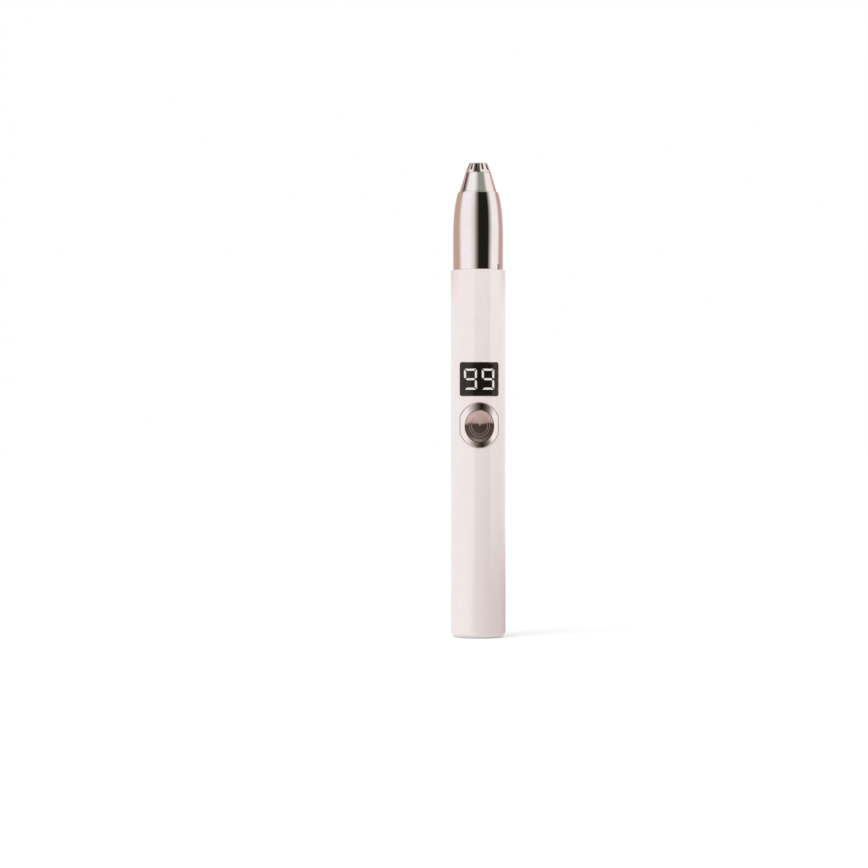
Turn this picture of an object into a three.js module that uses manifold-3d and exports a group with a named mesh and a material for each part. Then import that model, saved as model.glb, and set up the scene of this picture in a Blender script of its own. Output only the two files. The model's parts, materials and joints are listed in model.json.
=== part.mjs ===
// Pen-shaped electric eyebrow trimmer: a white body with a display and a power button, and a chrome head
// with a rotary cutter under a slotted guard. Millimetres, +Z up, standing on its tail, front towards -Y.
import * as THREE from "three";
import { mergeVertices } from "three/addons/utils/BufferGeometryUtils.js";
import Module from "manifold-3d";

const wasm = await Module();
wasm.setup();

// Clearances
const FIT = 0.15; // round a part that slides or drops into another
const SEAT = 0.05; // between faces that rest on each other
const RUN = 0.06; // radial play of a shaft in its bush
const STACK_GAP = 0.3; // between the parts stacked along the body

// Body shell and tail
const BODY_DIAMETER = 15.6;
const SHELL_WALL = 1.1;
const TOP_CHAMFER = 0.2;
const TAIL_FILLET = 1.4;
const TAIL_LIP_WIDTH = 0.9;
const TAIL_LIP_HEIGHT = 1.6;
const TAIL_FLANGE = 1.0;

// Charging inlet, a USB-C receptacle on its own small board
const USB_WIDTH = 8.94;
const USB_HEIGHT = 3.26;
const USB_LENGTH = 7.4;
const USB_METAL = 0.3;
const USB_SETBACK = 0.6;
const USB_TONGUE_WIDTH = 6.7;
const USB_TONGUE_THICKNESS = 0.7;
const USB_TONGUE_SETBACK = 0.8;
const USB_PLUG_LENGTH = 1.5;
const USB_BOARD_MARGIN = 0.4;
const USB_BOARD_TAIL = 3.0;
const BOARD_THICKNESS = 0.8;

// Battery, a slim lithium cell in a shrink sleeve
const CELL_LENGTH = 40;
const CELL_PLAY = 0.35;
const CELL_NUB_DIAMETER = 3.6;
const CELL_NUB_HEIGHT = 0.6;
const SLEEVE_WALL = 0.15;
const SLEEVE_LIP = 0.8;
const TAB_WIDTH = 3.0;
const TAB_THICKNESS = 0.2;
const TAB_INSET = 0.6; // from the side of the cell

// Inner chassis, a half tube with three bulkheads
const CHASSIS_WALL = 1.0;
const BULKHEAD = 0.8;
const BULKHEAD_HOLE = 5.2;

// Display
const DIGIT_WIDTH = 3.6;
const DIGIT_HEIGHT = 6.05;
const DIGIT_STROKE = 0.7;
const DIGIT_GAP = 1.2;
const SEGMENT_GAP = 0.22;
const SEGMENT_PLAY = 0.08;
const DIGIT_WEB = 0.5;
const DISPLAY_SIDE_MARGIN = 1.15;
const DISPLAY_END_MARGIN = 1.675;
const LENS_CORNER = 0.5;
const LENS_THICKNESS = 0.8;
const LENS_LEDGE = 0.5;
const REFLECTOR_GAP = 0.2;

// Power button, an upright oval, and its bezel
const BUTTON_WIDTH = 8.1;
const BUTTON_HEIGHT = 9.0;
const BUTTON_PROUD = 0.35;
const BUTTON_FLANGE = 0.6;
const BEZEL_SIDE_RIM = 1.7;
const BEZEL_TOP_RIM = 2.1;
const BEZEL_BOTTOM_RIM = 1.55;
const BEZEL_FLAT_CUT = 0.4; // off either side of the oval
const BEZEL_PROUD = 0.25;
const BEZEL_SEAT = 0.6;
const BEZEL_SLEEVE = 0.45;
const SYMBOL_RADIUS = 2.55;
const SYMBOL_STROKE = 0.8;
const SYMBOL_DEPTH = 0.25;
const SYMBOL_OPENING = 70;
const SYMBOL_BAR = 2.9;
const SYMBOL_BAR_WIDTH = 0.5;
const SYMBOL_BAR_RISE = 0.4; // above the ring's middle line
const SWITCH_WIDTH = 4.4;
const SWITCH_HEIGHT = 1.2;
const PLUNGER_DIAMETER = 2.0;
const PLUNGER_STAND = 0.8;
const PLUNGER_SINK = 0.5;
const BUTTON_TRAVEL = 0.4;

// Main board
const BUTTON_ABOVE_BOARD_END = 5.72;
const WINDOW_GAP = 1.98; // between the bezel and the lens
const BOARD_TOP_MARGIN = 2.7;
const CHIP_WIDTH = 4.0;
const CHIP_LENGTH = 3.0;
const CHIP_THICKNESS = 0.9;

// Motor
const MOTOR_LENGTH = 17.5;
const DAMPER_WALL = 0.4;
const CAN_WALL = 0.5;
const END_CAP = 2.0;
const MAGNET_THICKNESS = 0.9;
const MAGNET_OVERHANG = 1.0;
const MAGNET_ANGLE = 130;
const AIR_GAP = 0.25;
const ROTOR_END_ROOM = 3.3;
const POLE_COUNT = 3;
const POLE_WIDTH = 0.9;
const POLE_SHOE = 0.4;
const POLE_SHOE_ANGLE = 100;
const CORE_HUB_WALL = 0.4;
const WINDING_THICKNESS = 0.4;
const COMMUTATOR_WALL = 0.55;
const COMMUTATOR_LENGTH = 1.6;
const MOTOR_SHAFT_DIAMETER = 1.0;
const BEARING_WALL = 0.5;
const BEARING_PROUD = 0.7;
const BRUSH_GAP = 0.15;
const BRUSH_WIDTH = 1.8;
const BRUSH_THICKNESS = 0.2;
const TERMINAL_LENGTH = 1.6;
const DOG_DIAMETER = 2.6;
const DOG_TONGUE_HEIGHT = 3.0;
const DOG_TONGUE_THICKNESS = 0.9;

// Neck that carries the head
const NECK_PLUG = 3.8;
const NECK_HEIGHT = 7.3;
const NECK_BORE_PLAY = 0.4;
const ORING_SECTION = 1.0;
const ORING_PROUD = 0.4;
const ORING_HEIGHT = 3.6;

// Head
const SEAM = 0.15;
const BARREL_STEP = 0.625;
const BARREL_LENGTH = 22.05;
const BARREL_STRAIGHT = 8.65;
const BARREL_BEND = 8.8;
const BARREL_TOP_DIAMETER = 11.6;
const BARREL_WALL = 0.8;
const TICK_WIDTH = 0.4;
const TICK_HEIGHT = 1.4;
const TICK_DEPTH = 0.15;
const TICK_ANGLE = 49;
const INSERT_LENGTH = 8.2;
const INSERT_WALL = 0.45;
const CONE_STEP = 0.4;
const CONE_LENGTH = 5.55;
const CONE_TOP_DIAMETER = 7.4;
const CONE_WALL = 0.7;
const CONE_SPIGOT = 3.0;
const CONE_WEB = 1.5;
const GUARD_LENGTH = 2.85;
const GUARD_TOP_DIAMETER = 5.1;
const GUARD_WALL = 0.35;
const GUARD_ROOF = 0.3;
const GUARD_SPIGOT = 1.0;
const GUARD_LEDGE = 0.5;
const SLOT_COUNT = 12;
const SLOT_WIDTH = 0.6;
const SLOT_DEPTH = 2.0;
const SLOT_TURN = 9; // degrees from the front to the nearest slot, leftwards
const SLOT_INNER_DIAMETER = 3.0;

// Cutter inside the head
const CUTTER_SHAFT_DIAMETER = 1.5;
const BUSH_WALL = 0.9;
const BUSH_FLANGE = 0.5;
const CLIP_THICKNESS = 0.4;
const CLIP_WIDTH = 0.8;
const CLIP_MOUTH = 1.2;
const BLADE_COUNT = 6;
const BLADE_THICKNESS = 0.25;
const BLADE_GAP = 0.2;
const HUB_WALL = 0.5;
const HUB_DROP = 0.6;
const SPRING_WIRE = 0.3;
const SPRING_TURNS = 4;
const SPRING_PLAY = 0.25;
const SOCKET_DIAMETER = 4.2;
const SOCKET_LENGTH = 6.0;
const SOCKET_WEB = 0.6;

// Wires
const WIRE_DIAMETER = 0.8;
const PAD_SETBACK = 1.4; // from the end of a board to its pads
const CHARGE_PAD_SPREAD = 3.0;
const BATTERY_PAD_SPREAD = 2.6;
const MOTOR_PAD_SPREAD = 3.0;
const MOTOR_PAD_SETBACK = 4.0;

// Facets of round pieces
const OUTER_SIDES = 40;
const INNER_SIDES = 24;
const SHAFT_SIDES = 16;
const ORING_SIDES = 8;
const WIRE_SIDES = 8;
const SPRING_SIDES = 5;
const SPRING_STEPS = 8;
const ARC_STEPS = 6;
const OVERCUT = 1; // how far a cutting piece passes the faces it cuts

// Radii from the outside of the body inwards
const bodyRadius = BODY_DIAMETER / 2;
const boreRadius = bodyRadius - SHELL_WALL;
const tailLipRadius = boreRadius - TAIL_LIP_WIDTH;
const chassisOuter = boreRadius - FIT;
const chassisInner = chassisOuter - CHASSIS_WALL;
const sleeveOuter = chassisInner - CELL_PLAY;
const cellRadius = sleeveOuter - SLEEVE_WALL - SEAT;
const tabReach = cellRadius - TAB_INSET;
const damperOuter = chassisInner - SEAT;
const motorRadius = damperOuter - DAMPER_WALL - SEAT;

// Display and button sizes
const lensWidth = 2 * DIGIT_WIDTH + DIGIT_GAP + 2 * DISPLAY_SIDE_MARGIN;
const lensHeight = DIGIT_HEIGHT + 2 * DISPLAY_END_MARGIN;
const lensInner = bodyRadius - LENS_THICKNESS;
const bezelReach = BUTTON_WIDTH / 2 + BEZEL_SIDE_RIM;
const bezelFlat = bezelReach - BEZEL_FLAT_CUT;
const bezelRise = (BUTTON_HEIGHT + BEZEL_TOP_RIM + BEZEL_BOTTOM_RIM) / 2;
const sleeveGrow = FIT + BEZEL_SLEEVE;
const sleeveReach = BUTTON_WIDTH / 2 + sleeveGrow;

// Heights along the body
const usbTop = USB_SETBACK + USB_LENGTH;
const tailCapTop = TAIL_LIP_HEIGHT + SEAT + TAIL_FLANGE;
const usbBoardTop = usbTop + USB_BOARD_TAIL;
const chassisBottom = usbBoardTop + STACK_GAP;
const cellBottom = chassisBottom + BULKHEAD + STACK_GAP + TAB_THICKNESS + SEAT;
const cellTop = cellBottom + CELL_LENGTH;
const middleBulkhead = cellTop + SEAT + TAB_THICKNESS + STACK_GAP;
const boardBottom = middleBulkhead + BULKHEAD + STACK_GAP;
const buttonCentre = boardBottom + BUTTON_ABOVE_BOARD_END;
const bezelCentre = buttonCentre + (BEZEL_TOP_RIM - BEZEL_BOTTOM_RIM) / 2;
const displayCentre = bezelCentre + bezelRise + WINDOW_GAP + lensHeight / 2;
const boardTop = displayCentre + lensHeight / 2 + BOARD_TOP_MARGIN;
const upperBulkhead = boardTop + STACK_GAP;
const motorBase = upperBulkhead + BULKHEAD + STACK_GAP;
const motorTop = motorBase + MOTOR_LENGTH;
const neckBottom = motorTop + BEARING_PROUD + STACK_GAP;
const bodyTop = neckBottom + NECK_PLUG;
const neckTop = bodyTop + NECK_HEIGHT;
const headBase = bodyTop + SEAM;

// Depths from the bezel in to the board, which rests on the chassis; the front is -Y
const bezelInner = bodyRadius - BEZEL_SEAT;
const flangeFront = -Math.sqrt((bezelInner - FIT) ** 2 - sleeveReach ** 2);
const buttonBack = flangeFront + BUTTON_FLANGE;
const plungerFront = buttonBack + SEAT;
const switchFront = plungerFront + PLUNGER_STAND;
const boardFront = switchFront + SWITCH_HEIGHT + SEAT;
const boardBack = boardFront + BOARD_THICKNESS;
const boardHalf = Math.sqrt(boreRadius ** 2 - boardFront ** 2) - 2 * FIT;
const chassisFront = boardBack + SEAT;
const farFront = -2 * bodyRadius;

// Head radii and heights, measured from the base of the barrel
const barrelRadius = bodyRadius - BARREL_STEP;
const barrelTopRadius = BARREL_TOP_DIAMETER / 2;
const insertOuter = barrelRadius - BARREL_WALL - FIT;
const insertInner = insertOuter - INSERT_WALL;
const neckRadius = insertInner - FIT - ORING_PROUD;
const coneTop = BARREL_LENGTH + CONE_LENGTH;
const coneTopRadius = CONE_TOP_DIAMETER / 2;
const guardTop = coneTop + GUARD_LENGTH;
const guardTopRadius = GUARD_TOP_DIAMETER / 2;
const webBottom = BARREL_LENGTH - CONE_SPIGOT;
const webTop = webBottom + CONE_WEB;
const cutterShaftRadius = CUTTER_SHAFT_DIAMETER / 2;
const bushRadius = cutterShaftRadius + RUN + BUSH_WALL;
const bushTop = webTop + SEAT + BUSH_FLANGE;
const bladeBottom = coneTop + SEAT + GUARD_LEDGE + BLADE_GAP;
const bladeTop = guardTop - GUARD_ROOF - BLADE_GAP;
const hubBottom = coneTop - HUB_DROP;
const dogShoulder = neckTop - headBase;
const socketBottom = dogShoulder + STACK_GAP;
const socketSlotTop = dogShoulder + DOG_TONGUE_HEIGHT + STACK_GAP;
const cutterShaftBottom = socketSlotTop + SOCKET_WEB;

// Turns a closed geometry into a solid that can be joined and cut.
function solid(geometry) {
  const bare = geometry.clone();
  bare.deleteAttribute("normal");
  bare.deleteAttribute("uv");
  const merged = mergeVertices(bare, 1e-4);
  return new wasm.Manifold(
    new wasm.Mesh({
      numProp: 3,
      vertProperties: merged.attributes.position.array,
      triVerts: new Uint32Array(merged.index.array),
    }),
  );
}

function geometryOf(body) {
  const mesh = body.getMesh();
  return new THREE.BufferGeometry()
    .setAttribute("position", new THREE.BufferAttribute(mesh.vertProperties, 3))
    .setIndex(new THREE.BufferAttribute(mesh.triVerts, 1));
}

function joined(bodies) {
  return bodies.reduce((whole, body) => whole.add(body));
}

// A profile of [radius, height] points turned round the Z axis.
function turned(points, sides) {
  const profile = points.map(([radius, z]) => new THREE.Vector2(radius, z));
  return solid(new THREE.LatheGeometry(profile, sides).rotateX(Math.PI / 2));
}

function rod(radius, z0, z1, sides) {
  return turned([[0, z0], [radius, z0], [radius, z1], [0, z1]], sides);
}

function ring(inner, outer, z0, z1, sides) {
  return turned([[inner, z0], [outer, z0], [outer, z1], [inner, z1], [inner, z0]], sides);
}

function blockGeometry([x0, x1], [y0, y1], [z0, z1]) {
  const box = new THREE.BoxGeometry(x1 - x0, y1 - y0, z1 - z0);
  return box.translate((x0 + x1) / 2, (y0 + y1) / 2, (z0 + z1) / 2);
}

function block(xs, ys, zs) {
  return solid(blockGeometry(xs, ys, zs));
}

// Copies of a geometry spaced evenly round the Z axis, joined.
function spun(geometry, count) {
  const turns = Array.from({ length: count }, (_, i) => (2 * Math.PI * i) / count);
  return joined(turns.map((angle) => solid(geometry.clone().rotateZ(angle))));
}

// A shape drawn in X and Z, pushed through from y0 to y1.
function frontPrism(shape, y0, y1) {
  const options = { depth: y1 - y0, bevelEnabled: false, curveSegments: ARC_STEPS };
  return solid(new THREE.ExtrudeGeometry(shape, options).rotateX(Math.PI / 2).translate(0, y1, 0));
}

// A shape drawn in X and Y, raised from z0 to z1.
function uprightPrism(shape, z0, z1) {
  const options = { depth: z1 - z0, bevelEnabled: false, curveSegments: ARC_STEPS };
  return solid(new THREE.ExtrudeGeometry(shape, options).translate(0, 0, z0));
}

function circleShape(radius, x, y, sides) {
  const points = Array.from({ length: sides }, (_, i) => {
    const angle = (2 * Math.PI * i) / sides;
    return new THREE.Vector2(x + radius * Math.cos(angle), y + radius * Math.sin(angle));
  });
  return new THREE.Shape(points);
}

// A rectangle with each corner cut to a short facet pair.
function roundedShape(width, height, corner, x, y) {
  const w = width / 2;
  const h = height / 2;
  const soft = corner * (1 - Math.SQRT1_2);
  const quadrant = [[w, h - corner], [w - soft, h - soft], [w - corner, h]];
  const mirrored = quadrant.map(([u, v]) => [-u, v]).reverse();
  const upper = [...quadrant, ...mirrored];
  const lower = upper.map(([u, v]) => [u, -v]).reverse();
  return new THREE.Shape([...upper, ...lower].map(([u, v]) => new THREE.Vector2(x + u, y + v)));
}

function stadiumShape(width, height) {
  const reach = (width - height) / 2;
  return new THREE.Shape()
    .absarc(reach, 0, height / 2, -Math.PI / 2, Math.PI / 2)
    .absarc(-reach, 0, height / 2, Math.PI / 2, 1.5 * Math.PI)
    .closePath();
}

function lensShape(grow) {
  const corner = Math.max(LENS_CORNER + grow, SEAT);
  return roundedShape(lensWidth + 2 * grow, lensHeight + 2 * grow, corner, 0, displayCentre);
}

// The button's oval, grown by a margin.
function buttonShape(grow) {
  const points = Array.from({ length: INNER_SIDES }, (_, i) => {
    const angle = (2 * Math.PI * i) / INNER_SIDES;
    const x = (BUTTON_WIDTH / 2 + grow) * Math.cos(angle);
    const z = (BUTTON_HEIGHT / 2 + grow) * Math.sin(angle);
    return new THREE.Vector2(x, buttonCentre + z);
  });
  return new THREE.Shape(points);
}

// A wider oval with a flat on either side.
function bezelShape(grow) {
  const reach = bezelReach + grow;
  const rise = bezelRise + grow;
  const corner = Math.acos((bezelFlat + grow) / reach);
  return new THREE.Shape()
    .absellipse(0, bezelCentre, reach, rise, corner, Math.PI - corner)
    .absellipse(0, bezelCentre, reach, rise, Math.PI + corner, 2 * Math.PI - corner)
    .closePath();
}

// The seven bars of a digit, mitred at its corners and pointed where they meet at its middle. A bar lists its
// start, its end and the mitre of each: 1 if its left side is longer, -1 if its right side is, 0 if pointed.
function segmentShapes(x, y, grow) {
  const w = (DIGIT_WIDTH - DIGIT_STROKE) / 2;
  const h = (DIGIT_HEIGHT - DIGIT_STROKE) / 2;
  const half = DIGIT_STROKE / 2 + grow;
  const inset = SEGMENT_GAP - grow;
  const across = [[h, 1], [0, 0], [-h, -1]].map(([z, long]) => [[-w, z], [w, z], long, long]);
  const upright = [[-w, 1], [w, -1]].flatMap(([u, long]) => [
    [[u, 0], [u, h], 0, long],
    [[u, -h], [u, 0], long, 0],
  ]);
  return [...across, ...upright].map(([start, end, startMitre, endMitre]) => {
    const a = new THREE.Vector2(...start).add(new THREE.Vector2(x, y));
    const b = new THREE.Vector2(...end).add(new THREE.Vector2(x, y));
    const along = b.clone().sub(a).normalize();
    const side = new THREE.Vector2(-along.y, along.x);
    const setback = (mitre, out) => inset + half * (mitre === 0 ? Math.abs(out) : -mitre * out);
    const corner = (from, step, out) =>
      from.clone().addScaledVector(along, step).addScaledVector(side, out * half);
    const outs = (mitre) => (mitre === 0 ? [-1, 0, 1] : [-1, 1]);
    return new THREE.Shape([
      ...outs(endMitre).map((out) => corner(b, -setback(endMitre, out), out)),
      ...outs(startMitre).map((out) => corner(a, setback(startMitre, -out), -out)),
    ]);
  });
}

const materials = {
  shell: [0xf1e6e4, 0.35, 0],
  chrome: [0xe0dcd8, 0.08, 1],
  steel: [0xb8b8b4, 0.3, 1],
  brass: [0xc8a45a, 0.35, 1],
  copper: [0xb4683a, 0.4, 1],
  magnet: [0x3a3a3c, 0.6, 0.2],
  lens: [0x101010, 0.06, 0],
  diffuser: [0xf6f6f2, 0.5, 0],
  dark: [0x262628, 0.55, 0],
  frame: [0xd8d8d6, 0.5, 0],
  rubber: [0x2c2c2e, 0.8, 0],
  board: [0x1e6b42, 0.5, 0],
  sleeve: [0x3f6fb5, 0.4, 0],
  wireRed: [0xb52a22, 0.5, 0],
  wireBlack: [0x222222, 0.5, 0],
};

function add(group, name, body, finish) {
  const [color, roughness, metalness] = materials[finish];
  const mesh = new THREE.Mesh(
    geometryOf(body),
    new THREE.MeshStandardMaterial({ color, roughness, metalness }),
  );
  mesh.name = name;
  group.add(mesh);
}

function addBodyShell(group) {
  const round = Math.min(TAIL_FILLET, SHELL_WALL + TAIL_LIP_WIDTH - FIT);
  const fillet = Array.from({ length: ARC_STEPS + 1 }, (_, i) => {
    const angle = (Math.PI / 2) * (i / ARC_STEPS);
    return [bodyRadius - round + round * Math.sin(angle), round - round * Math.cos(angle)];
  });
  const tube = turned(
    [
      [tailLipRadius, 0],
      ...fillet,
      [bodyRadius, bodyTop - TOP_CHAMFER],
      [bodyRadius - TOP_CHAMFER, bodyTop],
      [boreRadius, bodyTop],
      [boreRadius, TAIL_LIP_HEIGHT],
      [tailLipRadius, TAIL_LIP_HEIGHT],
      [tailLipRadius, 0],
    ],
    OUTER_SIDES,
  );
  const outside = (depth) => ring(bodyRadius - depth - SEAT, 2 * bodyRadius, 0, bodyTop, OUTER_SIDES);
  const lensRecess = frontPrism(lensShape(FIT), farFront, 0).intersect(outside(LENS_THICKNESS));
  const lightWindow = frontPrism(lensShape(-LENS_LEDGE), farFront, 0);
  const bezelRecess = frontPrism(bezelShape(FIT), farFront, 0).intersect(outside(BEZEL_SEAT));
  const sleeveHole = frontPrism(buttonShape(sleeveGrow + FIT), farFront, 0);
  const cut = joined([lensRecess, lightWindow, bezelRecess, sleeveHole]);
  add(group, "body_shell", tube.subtract(cut), "shell");
}

function addTail(group) {
  const cap = turned(
    [
      [0, 0],
      [tailLipRadius - FIT, 0],
      [tailLipRadius - FIT, TAIL_LIP_HEIGHT + SEAT],
      [boreRadius - FIT, TAIL_LIP_HEIGHT + SEAT],
      [boreRadius - FIT, tailCapTop],
      [0, tailCapTop],
    ],
    OUTER_SIDES,
  );
  const mouthShape = stadiumShape(USB_WIDTH + 2 * FIT, USB_HEIGHT + 2 * FIT);
  const mouth = uprightPrism(mouthShape, -OVERCUT, tailCapTop + OVERCUT);
  add(group, "tail_cap", cap.subtract(mouth), "shell");

  const innerWidth = USB_WIDTH - 2 * USB_METAL;
  const innerHeight = USB_HEIGHT - 2 * USB_METAL;
  const outer = uprightPrism(stadiumShape(USB_WIDTH, USB_HEIGHT), USB_SETBACK, usbTop);
  const inner = uprightPrism(stadiumShape(innerWidth, innerHeight), USB_SETBACK - OVERCUT, usbTop + OVERCUT);
  add(group, "usb_shell", outer.subtract(inner), "steel");

  const plugShape = stadiumShape(innerWidth - 2 * SEAT, innerHeight - 2 * SEAT);
  const plug = uprightPrism(plugShape, usbTop - USB_PLUG_LENGTH, usbTop);
  const tongue = block(
    [-USB_TONGUE_WIDTH / 2, USB_TONGUE_WIDTH / 2],
    [-USB_TONGUE_THICKNESS / 2, USB_TONGUE_THICKNESS / 2],
    [USB_SETBACK + USB_TONGUE_SETBACK, usbTop - USB_PLUG_LENGTH / 2],
  );
  add(group, "usb_tongue", plug.add(tongue), "dark");

  const half = USB_WIDTH / 2 + USB_BOARD_MARGIN;
  const front = USB_HEIGHT / 2 + SEAT;
  const board = block([-half, half], [front, front + BOARD_THICKNESS], [tailCapTop + STACK_GAP, usbBoardTop]);
  add(group, "usb_board", board, "board");
}

function addChassis(group) {
  const wall = ring(chassisInner, chassisOuter, chassisBottom, motorTop, INNER_SIDES);
  const plate = (z) => rod(chassisInner + CHASSIS_WALL / 2, z, z + BULKHEAD, INNER_SIDES);
  const hole = rod(BULKHEAD_HOLE / 2, upperBulkhead - OVERCUT, motorBase, INNER_SIDES);
  const upper = plate(upperBulkhead).subtract(hole);
  const whole = joined([wall, plate(chassisBottom), plate(middleBulkhead), upper]);
  const backHalf = block(
    [-bodyRadius, bodyRadius],
    [chassisFront, bodyRadius],
    [chassisBottom - OVERCUT, motorTop + OVERCUT],
  );
  add(group, "chassis", whole.intersect(backHalf), "frame");
}

function addBattery(group) {
  const shoulder = cellTop - CELL_NUB_HEIGHT;
  const nub = CELL_NUB_DIAMETER / 2;
  const cell = [[0, cellBottom], [cellRadius, cellBottom], [cellRadius, shoulder]];
  cell.push([nub, shoulder], [nub, cellTop], [0, cellTop]);
  add(group, "battery_cell", turned(cell, INNER_SIDES), "steel");

  const lip = cellRadius - SLEEVE_LIP;
  const bore = cellRadius + SEAT;
  const over = shoulder + SEAT;
  const under = cellBottom;
  const sleeve = [[bore, under], [sleeveOuter, under], [sleeveOuter, over + SLEEVE_WALL]];
  sleeve.push([lip, over + SLEEVE_WALL], [lip, over], [bore, over], [bore, under]);
  add(group, "battery_sleeve", turned(sleeve, INNER_SIDES), "sleeve");

  const half = TAB_WIDTH / 2;
  const tab = (z) => block([-half, half], [-tabReach, half], [z, z + TAB_THICKNESS]);
  add(group, "battery_tab_negative", tab(cellBottom - SEAT - TAB_THICKNESS), "steel");
  add(group, "battery_tab_positive", tab(cellTop + SEAT), "steel");
}

function addMainBoard(group) {
  const board = block([-boardHalf, boardHalf], [boardFront, boardBack], [boardBottom, boardTop]);
  add(group, "main_board", board, "board");

  const chipHalf = CHIP_WIDTH / 2;
  const front = boardFront - SEAT;
  const chipBottom = buttonCentre + SWITCH_WIDTH / 2 + STACK_GAP;
  const control = block(
    [-chipHalf, chipHalf],
    [front - CHIP_THICKNESS, front],
    [chipBottom, chipBottom + CHIP_LENGTH],
  );
  add(group, "control_chip", control, "dark");
  const back = boardBack + SEAT;
  const charge = block(
    [-chipHalf, chipHalf],
    [back, back + CHIP_THICKNESS],
    [buttonCentre, buttonCentre + CHIP_LENGTH],
  );
  add(group, "charge_chip", charge, "dark");

  const reach = SWITCH_WIDTH / 2;
  const body = block([-reach, reach], [switchFront, front], [buttonCentre - reach, buttonCentre + reach]);
  const well = circleShape(PLUNGER_DIAMETER / 2 + FIT, 0, buttonCentre, SHAFT_SIDES);
  const wellDepth = switchFront + PLUNGER_SINK + BUTTON_TRAVEL + SEAT;
  add(group, "switch_body", body.subtract(frontPrism(well, farFront, wellDepth)), "dark");
}

function addDisplay(group) {
  const lens = frontPrism(lensShape(0), farFront, 0);
  add(group, "display_lens", lens.intersect(ring(lensInner, bodyRadius, 0, bodyTop, OUTER_SIDES)), "lens");

  const faceRadius = lensInner - REFLECTOR_GAP;
  const back = boardFront - SEAT;
  const pitch = DIGIT_WIDTH + DIGIT_GAP;
  const webFront = back - SEAT - DIGIT_WEB;
  const digits = { digit_tens: -pitch / 2, digit_units: pitch / 2 };
  let reflector = frontPrism(lensShape(-LENS_LEDGE - FIT), farFront, back);
  reflector = reflector.intersect(rod(faceRadius, 0, bodyTop, OUTER_SIDES));
  for (const [name, x] of Object.entries(digits)) {
    const prisms = (grow, end) =>
      segmentShapes(x, displayCentre, grow).map((shape) => frontPrism(shape, farFront, end));
    const web = (grow) =>
      block(
        [x - DIGIT_WIDTH / 2 - grow, x + DIGIT_WIDTH / 2 + grow],
        [webFront - grow, back - SEAT + 2 * grow],
        [displayCentre - DIGIT_HEIGHT / 2 - grow, displayCentre + DIGIT_HEIGHT / 2 + grow],
      );
    const digit = joined([web(0), ...prisms(0, webFront + SEAT)]);
    add(group, name, digit.intersect(rod(faceRadius - SEAT, 0, bodyTop, OUTER_SIDES)), "diffuser");
    reflector = reflector.subtract(joined([web(SEGMENT_PLAY), ...prisms(SEGMENT_PLAY, back)]));
  }
  add(group, "display_reflector", reflector, "dark");
}

function addBezel(group) {
  const plate = frontPrism(bezelShape(0), farFront, 0);
  const band = ring(bezelInner, bodyRadius + BEZEL_PROUD, 0, bodyTop, OUTER_SIDES);
  const sleeve = frontPrism(buttonShape(sleeveGrow), farFront, flangeFront - SEAT);
  const bored = frontPrism(buttonShape(FIT), farFront, 0);
  const whole = plate.intersect(band).add(sleeve.intersect(rod(bodyRadius, 0, bodyTop, OUTER_SIDES)));
  add(group, "button_bezel", whole.subtract(bored), "chrome");
}

function addButton(group) {
  const crown = bodyRadius + BUTTON_PROUD;
  const dome = rod(crown, 0, bodyTop, OUTER_SIDES);
  const cap = frontPrism(buttonShape(0), farFront, buttonBack).intersect(dome);
  const flange = frontPrism(buttonShape(sleeveGrow), flangeFront, buttonBack);

  const inner = SYMBOL_RADIUS - SYMBOL_STROKE / 2;
  const outer = SYMBOL_RADIUS + SYMBOL_STROKE / 2;
  const start = Math.PI / 2 + ((SYMBOL_OPENING / 2) * Math.PI) / 180;
  const end = start + 2 * Math.PI - (SYMBOL_OPENING * Math.PI) / 180;
  const arc = new THREE.Shape()
    .absarc(0, buttonCentre, outer, start, end)
    .absarc(0, buttonCentre, inner, end, start, true)
    .closePath();
  const barCentre = buttonCentre + SYMBOL_RADIUS + SYMBOL_BAR_RISE - SYMBOL_BAR / 2;
  const bar = roundedShape(SYMBOL_BAR_WIDTH, SYMBOL_BAR, SYMBOL_BAR_WIDTH / 4, 0, barCentre);
  const skin = ring(crown - SYMBOL_DEPTH, 2 * bodyRadius, 0, bodyTop, OUTER_SIDES);
  const mark = frontPrism(arc, farFront, 0).add(frontPrism(bar, farFront, 0));
  add(group, "power_button", cap.add(flange).subtract(mark.intersect(skin)), "steel");
  const pin = circleShape(PLUNGER_DIAMETER / 2, 0, buttonCentre, SHAFT_SIDES);
  add(group, "switch_plunger", frontPrism(pin, plungerFront, switchFront + PLUNGER_SINK), "dark");
}

// The motor's own heights start at the outer face of its end cap.
const shaftRadius = MOTOR_SHAFT_DIAMETER / 2;
const bearingRadius = shaftRadius + RUN + BEARING_WALL;
const magnetOuter = motorRadius - CAN_WALL - SEAT;
const rotorRadius = magnetOuter - MAGNET_THICKNESS - AIR_GAP;
const commutatorRadius = shaftRadius + SEAT + COMMUTATOR_WALL;
const brushInner = Math.max(bearingRadius, commutatorRadius) + BRUSH_GAP;
const brushOuter = brushInner + BRUSH_THICKNESS;
const commutatorBottom = END_CAP + 2 * STACK_GAP;
const commutatorTop = commutatorBottom + COMMUTATOR_LENGTH;
const coreBottom = commutatorTop + STACK_GAP + WINDING_THICKNESS;
const coreTop = MOTOR_LENGTH - CAN_WALL - BEARING_PROUD - ROTOR_END_ROOM;
const dogBase = neckBottom + STACK_GAP - motorBase;

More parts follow.
